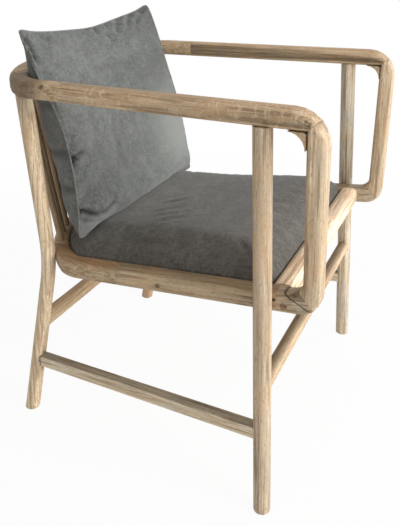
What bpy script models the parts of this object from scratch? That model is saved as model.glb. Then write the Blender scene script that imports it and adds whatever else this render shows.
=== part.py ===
"""Oak armchair with a loose back cushion and a fitted seat pad. Metres, +Z up, the chair faces -Y.

Lengths along Y are given from the line through the tops of the front legs, with +Y towards the back. An
empty named chair then moves everything so that the origin lies under the middle of the chair.
"""

import math

import bmesh
import bpy
from mathutils import Matrix, Vector
from mathutils.bvhtree import BVHTree

# Clearances and overruns
GAP = 0.0003
CUT_OVERRUN = 0.010
WELD_DISTANCE = 0.00002

# Loop of the arms and the crest rail
ARM_UNDERSIDE = 0.655
ARM_HEIGHT = 0.030
ARM_WIDTH = 0.036
ARM_EDGE_RADIUS = 0.009
ARM_HALF_SPREAD = 0.2568
ARM_TAPER_SLOPE = 0.0385
CREST_ARC_RADIUS = 0.302
CREST_ARC_CENTRE_Y = 0.250
CREST_CORNER_RADIUS = 0.080
CREST_JOINT_X = 0.1795
ARM_JOINT_Y = 0.350

# Posts at the front of the arms
POST_TOP_AHEAD = 0.0810
POST_FOOT_AHEAD = 0.0765
POST_DEPTH = 0.028
POST_EDGE_RADIUS = 0.008
TOP_OUTER_RADIUS = 0.052
TOP_INNER_RADIUS = 0.025
FOOT_OUTER_RADIUS = 0.036
FOOT_INNER_RADIUS = 0.023

# Loop of the seat frame, in its own plane, which drops towards the back
SEAT_FRAME_Z = 0.3747
SEAT_SLOPE = 0.0838
SEAT_RAIL_WIDTH = 0.031
SEAT_RAIL_HEIGHT = 0.033
SEAT_EDGE_RADIUS = 0.007
SEAT_HALF_SPREAD = 0.2382
SEAT_TAPER_SLOPE = 0.0198
SEAT_ARC_RADIUS = 0.275
SEAT_ARC_CENTRE_Y = 0.226
SEAT_CORNER_RADIUS = 0.060
SEAT_BACK_JOINT_X = 0.1815
SEAT_BACK_JOINT_Y = 0.270
SEAT_FRONT_JOINT_AHEAD = 0.0225
FRONT_RAIL_AHEAD = 0.024
FRONT_RAIL_DEPTH = 0.034
FRONT_RAIL_EDGE_RADIUS = 0.010

# Legs
FRONT_LEG_TOP_X = 0.2605
FRONT_LEG_FOOT_X = 0.2801
FRONT_LEG_FOOT_AHEAD = 0.0144
FRONT_LEG_TOP_RADIUS = 0.0147
FRONT_LEG_FOOT_RADIUS = 0.0141
BACK_LEG_TOP_X, BACK_LEG_TOP_Y = 0.2142, 0.4584
BACK_LEG_BEND_X, BACK_LEG_BEND_Y, BACK_LEG_BEND_Z = 0.2233, 0.4290, 0.3387
BACK_LEG_FOOT_X, BACK_LEG_FOOT_Y = 0.2353, 0.5001
BACK_LEG_TOP_RADIUS = 0.0150
BACK_LEG_BEND_RADIUS = 0.0132
BACK_LEG_FOOT_RADIUS = 0.0140
BACK_LEG_BEND_LENGTH = 0.090
FOOT_CHAMFER = 0.0015
LEG_TENON_RADIUS = 0.0080
LEG_TENON_LENGTH = 0.018

# Stretchers
SIDE_STRETCHER_FRONT_Z = 0.1515
SIDE_STRETCHER_BACK_Z = 0.1212
SIDE_STRETCHER_HEIGHT = 0.0235
SIDE_STRETCHER_WIDTH = 0.022
FRONT_STRETCHER_Z = 0.2344
FRONT_STRETCHER_RADIUS = 0.0122
BACK_STRETCHER_Z = 0.208
BACK_STRETCHER_HEIGHT = 0.026
BACK_STRETCHER_WIDTH = 0.022
STRETCHER_EDGE_RADIUS = 0.005
STRETCHER_TENON_RADIUS = 0.006
STRETCHER_TENON_DEPTH = 0.012

# Spindles of the back
SPINDLE_COUNT = 11
SPINDLE_SPACING = 0.033
SPINDLE_RADIUS = 0.0065
SPINDLE_SEAT_DEPTH = 0.014
SPINDLE_CREST_DEPTH = 0.014

# Tenons between the lengths of a rail
RAIL_TENON_RADIUS = 0.0065
RAIL_TENON_LENGTH = 0.014

# Fastenings
LEG_DOWEL_RADIUS = 0.004
LEG_DOWEL_IN_RAIL = 0.018
LEG_DOWEL_IN_LEG = 0.010
RAIL_SCREW_AHEAD = 0.034
RAIL_SCREW_BELOW = 0.004
RAIL_SCREW_LENGTH = 0.045
SCREW_SHANK_RADIUS = 0.0022
SCREW_HEAD_RADIUS = 0.0045
SCREW_HEAD_LENGTH = 0.003
PLUG_RADIUS = 0.0058
PLUG_LENGTH = 0.006
GUSSET_PIN_RADIUS = 0.0018
GUSSET_PIN_LENGTH = 0.033
GUSSET_THINNEST = 0.0008
GUSSET_SET_IN = 0.001
GUSSET_EDGE_RADIUS = 0.0
LEG_SCREW_SUNK = 0.004
LEG_SCREW_LENGTH = 0.034
PANEL_SCREW_LENGTH = 0.0125
PANEL_SCREW_SPREAD = 0.150

# Seat pad and what carries it
PANEL_THICKNESS = 0.008
PANEL_BELOW_RAIL_TOP = 0.0165
CLEAT_WIDTH = 0.018
CLEAT_FRONT_Y = 0.030
CLEAT_BACK_Y = 0.240
PANEL_EDGE_GAP = 0.0035
COVER_EDGE_GAP = 0.0015
COVER_THICKNESS = 0.002
FOAM_GAP = 0.0008
PAD_FRONT_CORNER_RADIUS = 0.012
PAD_EDGE_RISE = 0.004
PAD_CROWN = 0.036
PAD_CROWN_POWER = 10
PAD_RING_SHARES = (0.965, 0.88, 0.66, 0.33)
PAD_STEP_LENGTH = 0.060
PAD_FILLET_STEPS = 2

# Back cushion
CUSHION_FOOT_WIDTH = 0.429
CUSHION_TOP_WIDTH = 0.428
CUSHION_HEIGHT = 0.3705
CUSHION_FRONT_SWELL = 0.054
CUSHION_BACK_SWELL = 0.062
CUSHION_EDGE_THICKNESS = 0.006
CUSHION_SIDE_DRAW = 0.0145
CUSHION_TOP_DRAW = 0.0195
CUSHION_SIDE_LEAN = 0.0835
CUSHION_SIDE_DIP = 0.0135
CUSHION_MIDDLE_SET_BACK = 0.014
CUSHION_MIDDLE_LEAN = 0.086
CUSHION_START_CLEARANCE = 0.060
CUSHION_CREST_CLEARANCE = 0.0035
CUSHION_SEAT_CLEARANCE = 0.0004
CUSHION_MIDDLE_LEAN_POWER = 0.9
CUSHION_FRONT_FULLNESS = 5
CUSHION_BACK_FULLNESS = 7
CUSHION_TOP_FULLNESS = 3
CUSHION_FOOT_FULLNESS = 10
CUSHION_SWELL_POWER_SHARE = 0.56
CUSHION_CELLS = 8
CUSHION_COVER_THICKNESS = 0.0015
FILLING_GAP = 0.0013
ZIP_LENGTH = 0.300
ZIP_WIDTH = 0.003
ZIP_DEPTH = 0.024

# Facets
ROUND_SIDES = 20
HOLE_SIDES = 12
FILLET_STEPS = 6
ARC_STEP_LENGTH = 0.018
EDGE_STEPS = 3
FLAT_ANGLE = math.radians(0.5)

SIDES = (("right", -1), ("left", 1))
UP = Vector((0, 0, 1))
RIGHTWARD = Vector((1, 0, 0))
BACKWARD = Vector((0, 1, 0))


# Scene set-up


def clear_scene():
    for old in list(bpy.data.objects):
        bpy.data.objects.remove(old, do_unlink=True)


def new_collection(name):
    made = bpy.data.collections.new(name)
    bpy.context.scene.collection.children.link(made)
    return made


def new_material(name, colour, roughness, metallic=0.0):
    made = bpy.data.materials.new(name)
    made.use_nodes = True
    shader = made.node_tree.nodes["Principled BSDF"]
    shader.inputs["Base Color"].default_value = (*colour, 1)
    shader.inputs["Roughness"].default_value = roughness
    shader.inputs["Metallic"].default_value = metallic
    made.diffuse_color = (*colour, 1)
    return made


def placed(name, data, matrix, material):
    """An object under its name, at a matrix in the chair's own coordinates."""
    made = bpy.data.objects.new(name, data)
    parts.objects.link(made)
    made.parent = chair
    made.matrix_local = matrix
    if material:
        data.materials.clear()
        data.materials.append(material)
    return made


def as_helper(obj):
    parts.objects.unlink(obj)
    cutters.objects.link(obj)
    obj.hide_render = True
    obj.display_type = "WIRE"
    return obj


# Solids


def finished(bm, name):
    bmesh.ops.recalc_face_normals(bm, faces=bm.faces)
    mesh = bpy.data.meshes.new(name)
    bm.to_mesh(mesh)
    bm.free()
    mesh.shade_smooth()
    mesh.set_sharp_from_angle(angle=math.radians(35))
    return mesh


def trim(bm, frame, trims):
    """Cuts away what lies on the far side of each plane, given by a point and a normal of the chair."""
    back = frame.inverted()
    for point, normal in trims:
        geometry = [*bm.verts, *bm.edges, *bm.faces]
        cut = bmesh.ops.bisect_plane(
            bm,
            geom=geometry,
            dist=WELD_DISTANCE,
            plane_co=back @ point,
            plane_no=back.to_3x3() @ normal,
            clear_outer=True,
        )
        rim = [item for item in cut["geom_cut"] if isinstance(item, bmesh.types.BMEdge)]
        bmesh.ops.contextual_create(bm, geom=rim)
    bmesh.ops.triangulate(bm, faces=[face for face in bm.faces if len(face.verts) > 4])


def curve_bmesh(curve):
    """The curve as one closed mesh, which can then be cut and joined."""
    guide = placed(curve.name + " guide", curve, Matrix.Identity(4), None)
    bpy.context.view_layer.update()
    graph = bpy.context.evaluated_depsgraph_get()
    mesh = bpy.data.meshes.new_from_object(guide.evaluated_get(graph))
    bpy.data.objects.remove(guide, do_unlink=True)
    bm = bmesh.new()
    bm.from_mesh(mesh)
    bpy.data.meshes.remove(mesh)
    bmesh.ops.remove_doubles(bm, verts=bm.verts, dist=WELD_DISTANCE)
    bmesh.ops.recalc_face_normals(bm, faces=bm.faces)
    return bm


def node_from(bm, name, frame, material, trims=()):
    trim(bm, frame, trims)
    return placed(name, finished(bm, name), frame, material)


def poly_spline(curve, points, cyclic=False):
    spline = curve.splines.new("POLY")
    spline.points.add(len(points) - 1)
    for spot, place in zip(spline.points, points):
        spot.co = (*place.to_3d(), 1)
    spline.use_cyclic_u = cyclic
    return spline


def profile(name, width, height, edge_radius):
    """The section of a rail: a rounded rectangle, width across the rail's plane and height out of it."""
    corners = [
        (Vector((x * width / 2, y * height / 2)), edge_radius)
        for x, y in ((1, 1), (-1, 1), (-1, -1), (1, -1))
    ]
    curve = bpy.data.curves.new(name, "CURVE")
    curve.dimensions = "2D"
    curve.fill_mode = "NONE"
    poly_spline(curve, rounded(corners, EDGE_STEPS), cyclic=True)
    return as_helper(placed(name, curve, Matrix.Identity(4), None))


def sweep(name, frame, path, section, material, trims=()):
    """A rail: its section carried along a path that lies in the frame's XY plane."""
    curve = bpy.data.curves.new(name, "CURVE")
    curve.dimensions = "3D"
    curve.twist_mode = "Z_UP"
    curve.bevel_mode = "OBJECT"
    curve.bevel_object = section
    curve.use_fill_caps = True
    poly_spline(curve, path)
    return node_from(curve_bmesh(curve), name, frame, material, trims)


def board(name, frame, outline, thickness, edge_radius, material, trims=(), taper=None):
    """A flat outline in the frame's XY plane, thick along its Z, with rounded edges.

    A taper gives two heights, the share of the thickness at the lower one, and how far it leans there.
    """
    curve = bpy.data.curves.new(name, "CURVE")
    curve.dimensions = "2D"
    curve.fill_mode = "BOTH"
    curve.extrude = thickness / 2
    poly_spline(curve, outline, cyclic=True)
    bm = curve_bmesh(curve)
    bmesh.ops.dissolve_limit(bm, angle_limit=FLAT_ANGLE, verts=bm.verts, edges=bm.edges)
    if edge_radius:
        rim = [edge for edge in bm.edges if abs(sum(vert.co.z for vert in edge.verts)) > thickness / 2]
        bmesh.ops.bevel(bm, geom=rim, offset=edge_radius, segments=EDGE_STEPS, profile=0.5, affect="EDGES")
    if taper:
        top, foot, foot_share, lean = taper
        for vert in bm.verts:
            down = min(max((top - vert.co.y) / (top - foot), 0), 1)
            vert.co.z = vert.co.z * (1 + (foot_share - 1) * down) + lean * down
    return node_from(bm, name, frame, material, trims)


def bent_bar(name, points, radii, material, trims=()):
    """A round member along points, with its own radius at each."""
    curve = bpy.data.curves.new(name, "CURVE")
    curve.dimensions = "3D"
    curve.bevel_depth = 1
    curve.bevel_resolution = ROUND_SIDES // 4 - 1
    curve.use_fill_caps = True
    spline = poly_spline(curve, points)
    for spot, radius in zip(spline.points, radii):
        spot.radius = radius
    return node_from(curve_bmesh(curve), name, Matrix.Identity(4), material, trims)


def round_bar(name, start, end, start_radius, end_radius, material, trims=(), sides=ROUND_SIDES):
    """A straight round member, which may taper."""
    travel = end - start
    frame = Matrix.Translation((start + end) / 2) @ travel.to_track_quat("Z", "Y").to_matrix().to_4x4()
    bm = bmesh.new()
    bmesh.ops.create_cone(
        bm, cap_ends=True, segments=sides, radius1=start_radius, radius2=end_radius, depth=travel.length
    )
    return node_from(bm, name, frame, material, trims)


def box(name, frame, low, high, material):
    bm = bmesh.new()
    bmesh.ops.create_cube(bm, size=1)
    bmesh.ops.scale(bm, vec=high - low, verts=bm.verts)
    bmesh.ops.translate(bm, vec=(low + high) / 2, verts=bm.verts)
    return placed(name, finished(bm, name), frame, material)


def chamfer_foot(obj):
    """Takes the sharp edge off the flat foot of a leg."""
    bm = bmesh.new()
    bm.from_mesh(obj.data)
    heights = {vert: (obj.matrix_local @ vert.co).z for vert in bm.verts}
    low = [edge for edge in bm.edges if all(heights[vert] < WELD_DISTANCE for vert in edge.verts)]
    rim = [edge for edge in low if edge.calc_face_angle() > FLAT_ANGLE]
    bmesh.ops.bevel(bm, geom=rim, offset=FOOT_CHAMFER, segments=1, affect="EDGES")
    bmesh.ops.recalc_face_normals(bm, faces=bm.faces)
    bm.to_mesh(obj.data)
    bm.free()


def boolean(obj, other, operation):
    modifier = obj.modifiers.new(f"{operation.lower()} {other.name}", "BOOLEAN")
    modifier.operation = operation
    modifier.object = other
    modifier.solver = "EXACT"


def hole(obj, start, end, radius, sides=HOLE_SIDES):
    """A round hole from start to end."""
    boolean(obj, as_helper(round_bar(f"{obj.name} hole", start, end, radius, radius, OAK, (), sides)), "DIFFERENCE")


def tenon(member, receiver, root, tip, radius):
    """A round tenon that grows out of the member at root and ends at tip, and its mortise."""
    along = (tip - root).normalized()
    buried = root - along * 2 * radius
    grown = round_bar(f"{member.name} tenon", buried, tip, radius, radius, OAK, (), HOLE_SIDES)
    boolean(member, as_helper(grown), "UNION")
    hole(receiver, root - along * CUT_OVERRUN, tip + along * GAP, radius + GAP)


# Plane geometry


def rounded(corners, steps=FILLET_STEPS):
    """The points of an outline given by corners of (place, radius), with each corner rounded."""
    points = []
    for i, (place, radius) in enumerate(corners):
        if not radius:
            points.append(place)
            continue
        back = (corners[i - 1][0] - place).normalized()
        ahead = (corners[(i + 1) % len(corners)][0] - place).normalized()
        half = back.angle(ahead) / 2
        centre = place + (back + ahead).normalized() * (radius / math.sin(half))
        start = place + back * (radius / math.tan(half))
        turn = math.copysign(math.pi - 2 * half, -back.cross(ahead))
        for step in range(steps + 1):
            points.append(centre + Matrix.Rotation(turn * step / steps, 2) @ (start - centre))
    return points


def meet(first, along, second, across):
    """Where two lines in a plane meet, each given by a point and a direction."""
    return first + along * ((second - first).cross(across) / along.cross(across))


def loop_shape(half_spread, taper_slope, radius, centre_y, corner_radius):
    """The plan of a loop: an arc at the back, a tighter corner, and a straight side."""
    taper = math.atan(taper_slope)
    reach = half_spread * math.cos(taper) - corner_radius - centre_y * math.sin(taper)
    arc_end = math.asin(reach / (radius - corner_radius)) - taper
    return {
        "half_spread": half_spread,
        "slope": taper_slope,
        "radius": radius,
        "centre_y": centre_y,
        "corner_radius": corner_radius,
        "arc_end": arc_end,
        "corner_end": math.pi / 2 - taper,
    }


def inset_loop(loop, inset):
    """The same loop, drawn in by an even distance."""
    across = inset / math.cos(math.atan(loop["slope"]))
    return loop_shape(
        loop["half_spread"] - across,
        loop["slope"],
        loop["radius"] - inset,
        loop["centre_y"],
        loop["corner_radius"] - inset,
    )


def on_circle(centre, radius, angle, side):
    return centre + radius * Vector((math.sin(angle) * side, math.cos(angle)))


def on_arc(loop, angle, side):
    """A point of the back arc, by its angle from the middle of the back."""
    return on_circle(Vector((0, loop["centre_y"])), loop["radius"], angle, side)


def on_side(loop, y, side):
    return Vector((side * (loop["half_spread"] - loop["slope"] * y), y))


def arc_y(loop, x):
    return loop["centre_y"] + math.sqrt(loop["radius"] ** 2 - x**2)


def arc_angle(loop, x):
    return math.asin(x / loop["radius"])


def arc_path(loop, first, last, side=1, step_length=ARC_STEP_LENGTH):
    count = max(2, round(abs(last - first) * loop["radius"] / step_length))
    return [on_arc(loop, first + (last - first) * step / count, side) for step in range(count + 1)]


def corner_path(loop, start_angle, end_y, side, step_length=ARC_STEP_LENGTH, corner_steps=FILLET_STEPS):
    """From a point of the back arc, round the corner, to a point of the straight side."""
    points = arc_path(loop, start_angle, loop["arc_end"], side, step_length)
    inner = loop["radius"] - loop["corner_radius"]
    centre = on_circle(Vector((0, loop["centre_y"])), inner, loop["arc_end"], side)
    turn = loop["corner_end"] - loop["arc_end"]
    for step in range(1, corner_steps + 1):
        angle = loop["arc_end"] + turn * step / corner_steps
        points.append(on_circle(centre, loop["corner_radius"], angle, side))
    return points + [on_side(loop, end_y, side)]


def side_direction(loop, side):
    """Along the straight side of a loop, towards the front."""
    return (on_side(loop, -1, side) - on_side(loop, 0, side)).normalized().to_3d()


def arc_direction(loop, x, side):
    """Along the back arc at x, away from the middle."""
    angle = arc_angle(loop, x)
    return Vector((side * math.cos(angle), -math.sin(angle), 0))


def upright_frame(corner, forward, rising):
    """A frame at corner with X along forward, whose XY plane holds the rising direction too."""
    x = forward.normalized()
    y = (rising - rising.dot(x) * x).normalized()
    frame = Matrix((x, y, x.cross(y))).transposed().to_4x4()
    frame.translation = corner
    return frame


def in_frame(frame, direction):
    """The direction's part in the frame's XY plane, as a unit vector of two numbers."""
    return (frame.to_3x3().transposed() @ direction).to_2d().normalized()


# Places on the chair


def seat_place(x, y, z=0.0):
    """A point given in the seat frame's own plane."""
    return seat_frame @ Vector((x, y, z))


def front_leg_at(z, side):
    """The axis of a front leg at a height."""
    share = z / ARM_UNDERSIDE
    x = FRONT_LEG_FOOT_X + (FRONT_LEG_TOP_X - FRONT_LEG_FOOT_X) * share
    return Vector((side * x, FRONT_LEG_FOOT_AHEAD * (share - 1), z))


def front_leg_radius_at(z):
    return FRONT_LEG_FOOT_RADIUS + (FRONT_LEG_TOP_RADIUS - FRONT_LEG_FOOT_RADIUS) * z / ARM_UNDERSIDE


def back_leg_at(z, side):
    """The axis of a back leg at a height below its bend or above it."""
    foot = Vector((side * BACK_LEG_FOOT_X, BACK_LEG_FOOT_Y, 0))
    bend = Vector((side * BACK_LEG_BEND_X, BACK_LEG_BEND_Y, BACK_LEG_BEND_Z))
    top = Vector((side * BACK_LEG_TOP_X, BACK_LEG_TOP_Y, ARM_UNDERSIDE))
    low, high = (foot, bend) if z < BACK_LEG_BEND_Z else (bend, top)
    return low + (high - low) * ((z - low.z) / (high.z - low.z))


# The loop of the arms and the crest rail


def make_crest():
    arm_profile = profile("arm profile", ARM_WIDTH, ARM_HEIGHT, ARM_EDGE_RADIUS)
    angle = arc_angle(top_loop, CREST_JOINT_X)
    spare = CUT_OVERRUN / CREST_ARC_RADIUS
    trims = [(RIGHTWARD * side * (CREST_JOINT_X - GAP / 2), RIGHTWARD * side) for _, side in SIDES]
    path = arc_path(top_loop, -angle - spare, angle + spare)
    nodes["crest_rail"] = sweep("crest_rail", arm_frame, path, arm_profile, OAK, trims)
    for word, side in SIDES:
        name = f"crest_corner_{word}"
        path = corner_path(top_loop, angle - spare, ARM_JOINT_Y, side)
        cut = (RIGHTWARD * side * (CREST_JOINT_X + GAP / 2), RIGHTWARD * -side)
        nodes[name] = sweep(name, arm_frame, path, arm_profile, OAK, [cut])
        root = arm_frame @ on_arc(top_loop, angle, side).to_3d()
        tip = root + arc_direction(top_loop, CREST_JOINT_X, side) * RAIL_TENON_LENGTH
        tenon(nodes["crest_rail"], nodes[name], root, tip, RAIL_TENON_RADIUS)


def make_arm(word, side):
    """Arm rail, post, gusset and foot corner, with a mitre at the top of the post and one at its foot."""
    top = arm_frame @ on_side(top_loop, -POST_TOP_AHEAD, side).to_3d()
    foot = seat_frame @ on_side(seat_loop, -POST_FOOT_AHEAD, side).to_3d()
    backward = -(seat_frame.to_3x3() @ side_direction(seat_loop, side))
    frame = upright_frame(top, side_direction(top_loop, side), UP)
    half_arm, half_post, half_seat = ARM_HEIGHT / 2, POST_DEPTH / 2, SEAT_RAIL_HEIGHT / 2

    along = Vector((1, 0))
    down = in_frame(frame, foot - top)
    ahead = Vector((-down.y, down.x))
    foot_here = frame.inverted() @ foot
    lean = foot_here.z
    foot_here = foot_here.to_2d()
    rail = in_frame(frame, backward)
    over = Vector((rail.y, -rail.x))
    arm_top, arm_low = Vector((0, half_arm)), Vector((0, -half_arm))
    outer_top = meet(arm_top, along, ahead * half_post, down)
    inner_top = meet(arm_low, along, -ahead * half_post, down)
    outer_foot = meet(ahead * half_post, down, foot_here - over * half_seat, rail)
    inner_foot = meet(-ahead * half_post, down, foot_here + over * half_seat, rail)
    stub = 2 * TOP_OUTER_RADIUS
    foot_stub = 2 * FOOT_OUTER_RADIUS

    def mitre(inner, outer, sign):
        """The cut through a corner, which takes away what lies towards the post or away from it."""
        point = frame @ inner.to_3d()
        line = (outer - inner).normalized()
        normal = frame.to_3x3() @ (Vector((line.y, -line.x)) * sign).to_3d()
        return point - normal * (GAP / 2), normal

    arm_back = ARM_JOINT_Y - GAP
    behind = (arm_frame @ on_side(top_loop, arm_back, side).to_3d() - top).length
    outline = [
        (arm_low - along * (behind + CUT_OVERRUN), 0),
        (arm_top - along * (behind + CUT_OVERRUN), 0),
        (outer_top, TOP_OUTER_RADIUS),
        (outer_top + down * stub, 0),
        (inner_top + down * stub, 0),
        (inner_top, 0),
    ]
    end = (top - frame.col[0].to_3d() * behind, -frame.col[0].to_3d())
    name = f"arm_rail_{word}"
    nodes[name] = arm = board(
        name, frame, rounded(outline), ARM_WIDTH, ARM_EDGE_RADIUS, OAK, [mitre(inner_top, outer_top, 1), end]
    )
    root = top - frame.col[0].to_3d() * behind
    tip = root - frame.col[0].to_3d() * RAIL_TENON_LENGTH
    tenon(arm, nodes[f"crest_corner_{word}"], root, tip, RAIL_TENON_RADIUS)

    outline = [
        (inner_top - along * stub, 0),
        (outer_top - along * stub, 0),
        (outer_top, TOP_OUTER_RADIUS),
        (outer_foot, FOOT_OUTER_RADIUS),
        (outer_foot + rail * foot_stub, 0),
        (inner_foot + rail * foot_stub, 0),
        (inner_foot, FOOT_INNER_RADIUS),
        (inner_top, 0),
    ]
    trims = [mitre(inner_top, outer_top, -1), mitre(inner_foot, outer_foot, 1)]
    name = f"arm_post_{word}"
    taper = (inner_top.y, inner_foot.y, SEAT_RAIL_WIDTH / ARM_WIDTH, lean)
    nodes[name] = post = board(
        name, frame, rounded(outline), ARM_WIDTH, POST_EDGE_RADIUS, OAK, trims, taper
    )

    # The gusset fills the inner corner, and a pin holds all three where they meet.
    reach = TOP_INNER_RADIUS + GAP
    seat_back = inner_top - along * GAP + down * GAP
    heel, toe = seat_back - along * reach, seat_back + down * reach
    centre = heel + down * reach
    turn = -along.angle(-down)
    hollow = [
        centre + Matrix.Rotation(turn * step / FILLET_STEPS, 2) @ (heel - centre)
        for step in range(FILLET_STEPS + 1)
    ]
    name = f"arm_gusset_{word}"
    thin = GUSSET_THINNEST / reach
    hollow = [seat_back + (point - seat_back) * (1 + thin) for point in hollow]
    gusset = board(name, frame, [seat_back, *hollow], ARM_WIDTH - 2 * GUSSET_SET_IN, GUSSET_EDGE_RADIUS, OAK)
    nodes[name] = gusset
    across = frame.col[2].to_3d()
    spot = frame @ inner_top.to_3d()
    start, finish = spot - across * GUSSET_PIN_LENGTH / 2, spot + across * GUSSET_PIN_LENGTH / 2
    name = f"gusset_pin_{word}"
    radius = GUSSET_PIN_RADIUS
    nodes[name] = round_bar(name, start, finish, radius, radius, STEEL, (), HOLE_SIDES)
    for held in (gusset, arm, post):
        hole(held, start - across * CUT_OVERRUN, finish + across * CUT_OVERRUN, radius + GAP)

    # The foot corner carries the line of the seat rail on to the mitre.
    lower = upright_frame(foot, -backward, UP)
    rising = in_frame(lower, top - foot)
    front = Vector((rising.y, -rising.x))
    rail_top, rail_low = Vector((0, half_seat)), Vector((0, -half_seat))
    outer = meet(rail_low, along, front * half_post, rising)
    inner = meet(rail_top, along, -front * half_post, rising)
    length = POST_FOOT_AHEAD - SEAT_FRONT_JOINT_AHEAD + CUT_OVERRUN
    outline = [
        (outer + rising * foot_stub, 0),
        (outer, FOOT_OUTER_RADIUS),
        (rail_low - along * length, 0),
        (rail_top - along * length, 0),
        (inner, FOOT_INNER_RADIUS),
        (inner + rising * foot_stub, 0),
    ]
    joint = seat_place(0, -SEAT_FRONT_JOINT_AHEAD - GAP / 2)
    trims = [mitre(inner_foot, outer_foot, -1), (joint, seat_frame.col[1].to_3d())]
    name = f"foot_corner_{word}"
    nodes[name] = board(name, lower, rounded(outline), SEAT_RAIL_WIDTH, SEAT_EDGE_RADIUS, OAK, trims)


# The seat frame


def make_seat_frame():
    section = profile("seat rail profile", SEAT_RAIL_WIDTH, SEAT_RAIL_HEIGHT, SEAT_EDGE_RADIUS)
    angle = arc_angle(seat_loop, SEAT_BACK_JOINT_X)
    spare = CUT_OVERRUN / SEAT_ARC_RADIUS
    trims = [(RIGHTWARD * side * (SEAT_BACK_JOINT_X - GAP / 2), RIGHTWARD * side) for _, side in SIDES]
    path = arc_path(seat_loop, -angle - spare, angle + spare)
    nodes["seat_back_rail"] = sweep("seat_back_rail", seat_frame, path, section, OAK, trims)
    for word, side in SIDES:
        name = f"seat_corner_{word}"
        path = corner_path(seat_loop, angle - spare, SEAT_BACK_JOINT_Y, side)
        cut = (RIGHTWARD * side * (SEAT_BACK_JOINT_X + GAP / 2), RIGHTWARD * -side)
        nodes[name] = corner = sweep(name, seat_frame, path, section, OAK, [cut])
        root = seat_frame @ on_arc(seat_loop, angle, side).to_3d()
        travel = seat_frame.to_3x3() @ arc_direction(seat_loop, SEAT_BACK_JOINT_X, side)
        tenon(nodes["seat_back_rail"], corner, root, root + travel * RAIL_TENON_LENGTH, RAIL_TENON_RADIUS)

        name = f"seat_side_rail_{word}"
        ends = [SEAT_BACK_JOINT_Y - GAP, -SEAT_FRONT_JOINT_AHEAD - CUT_OVERRUN]
        path = [on_side(seat_loop, y, side) for y in ends]
        joint = seat_place(0, -SEAT_FRONT_JOINT_AHEAD + GAP / 2)
        trims = [(joint, -seat_frame.col[1].to_3d())]
        nodes[name] = sweep(name, seat_frame, path, section, OAK, trims)
        root = seat_frame @ path[0].to_3d()
        travel = seat_frame.to_3x3() @ side_direction(seat_loop, side)
        tenon(nodes[name], corner, root, root - travel * RAIL_TENON_LENGTH, RAIL_TENON_RADIUS)

    # The front rail is cut to the inner faces of the side rails.
    trims = []
    for _, side in SIDES:
        across = seat_frame.to_3x3() @ Vector((side, SEAT_TAPER_SLOPE, 0)).normalized()
        centre = seat_frame @ on_side(seat_loop, 0, side).to_3d()
        trims.append((centre - across * (SEAT_RAIL_WIDTH / 2 + GAP), across))
    ends = [Vector((side * SEAT_HALF_SPREAD, -FRONT_RAIL_AHEAD)) for _, side in SIDES]
    section = profile("front rail profile", FRONT_RAIL_DEPTH, SEAT_RAIL_HEIGHT, FRONT_RAIL_EDGE_RADIUS)
    nodes["seat_front_rail"] = sweep("seat_front_rail", seat_frame, ends, section, OAK, trims)

    for word, side in SIDES:
        corner = nodes[f"foot_corner_{word}"]
        centre = on_side(seat_loop, -RAIL_SCREW_AHEAD, side)
        outer = seat_place(centre.x + side * SEAT_RAIL_WIDTH / 2, centre.y, -RAIL_SCREW_BELOW)
        inward = Vector((-side, 0, 0))
        head = outer + inward * (PLUG_LENGTH + GAP)
        neck = head + inward * SCREW_HEAD_LENGTH
        tip = head + inward * RAIL_SCREW_LENGTH
        name = f"screw_plug_{word}"
        nodes[name] = round_bar(name, outer, outer + inward * PLUG_LENGTH, PLUG_RADIUS, PLUG_RADIUS, PLUG_OAK)
        name = f"front_rail_screw_{word}"
        nodes[name] = screw(name, head, neck, tip)
        hole(corner, outer - inward * CUT_OVERRUN, neck + inward * GAP, PLUG_RADIUS + GAP)
        hole(corner, head, tip + inward * GAP, SCREW_SHANK_RADIUS + GAP)
        hole(nodes["seat_front_rail"], head, tip + inward * GAP, SCREW_SHANK_RADIUS + GAP)


def screw(name, head, neck, tip):
    made = round_bar(name, head, neck, SCREW_HEAD_RADIUS, SCREW_HEAD_RADIUS, STEEL, (), HOLE_SIDES)
    start = (head + neck) / 2
    shank = round_bar(f"{name} shank", start, tip, SCREW_SHANK_RADIUS, SCREW_SHANK_RADIUS, STEEL, (), HOLE_SIDES)
    boolean(made, as_helper(shank), "UNION")
    return made


# Legs, stretchers and spindles


def make_front_leg(word, side):
    """The leg stands outside the seat rail and carries the arm. Returns its enlarged cutter."""
    foot, top = front_leg_at(0, side), front_leg_at(ARM_UNDERSIDE, side)
    travel = (top - foot).normalized()
    low, high = foot - travel * CUT_OVERRUN, top + travel * CUT_OVERRUN
    trims = [(Vector(), -UP), (UP * (ARM_UNDERSIDE - GAP), UP)]
    name = f"front_leg_{word}"
    radii = FRONT_LEG_FOOT_RADIUS, FRONT_LEG_TOP_RADIUS
    nodes[name] = leg = round_bar(name, low, high, *radii, OAK, trims)
    chamfer_foot(leg)
    tenon(leg, nodes[f"arm_rail_{word}"], top, top + travel * LEG_TENON_LENGTH, LEG_TENON_RADIUS)
    cutter = as_helper(round_bar(f"{name} clearance", low, high, radii[0] + GAP, radii[1] + GAP, OAK))

    # A dowel holds it to the seat rail.
    axis = front_leg_at(SEAT_FRAME_Z, side)
    face = Vector((side * (abs(axis.x) - front_leg_radius_at(SEAT_FRAME_Z)), axis.y, axis.z))
    outward = Vector((side, 0, 0))
    start, finish = face - outward * LEG_DOWEL_IN_RAIL, face + outward * LEG_DOWEL_IN_LEG
    name = f"leg_dowel_{word}"
    nodes[name] = round_bar(name, start, finish, LEG_DOWEL_RADIUS, LEG_DOWEL_RADIUS, OAK, (), HOLE_SIDES)
    for held in (leg, nodes[f"seat_side_rail_{word}"]):
        hole(held, start - outward * GAP, finish + outward * GAP, LEG_DOWEL_RADIUS + GAP)
    return cutter


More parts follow.
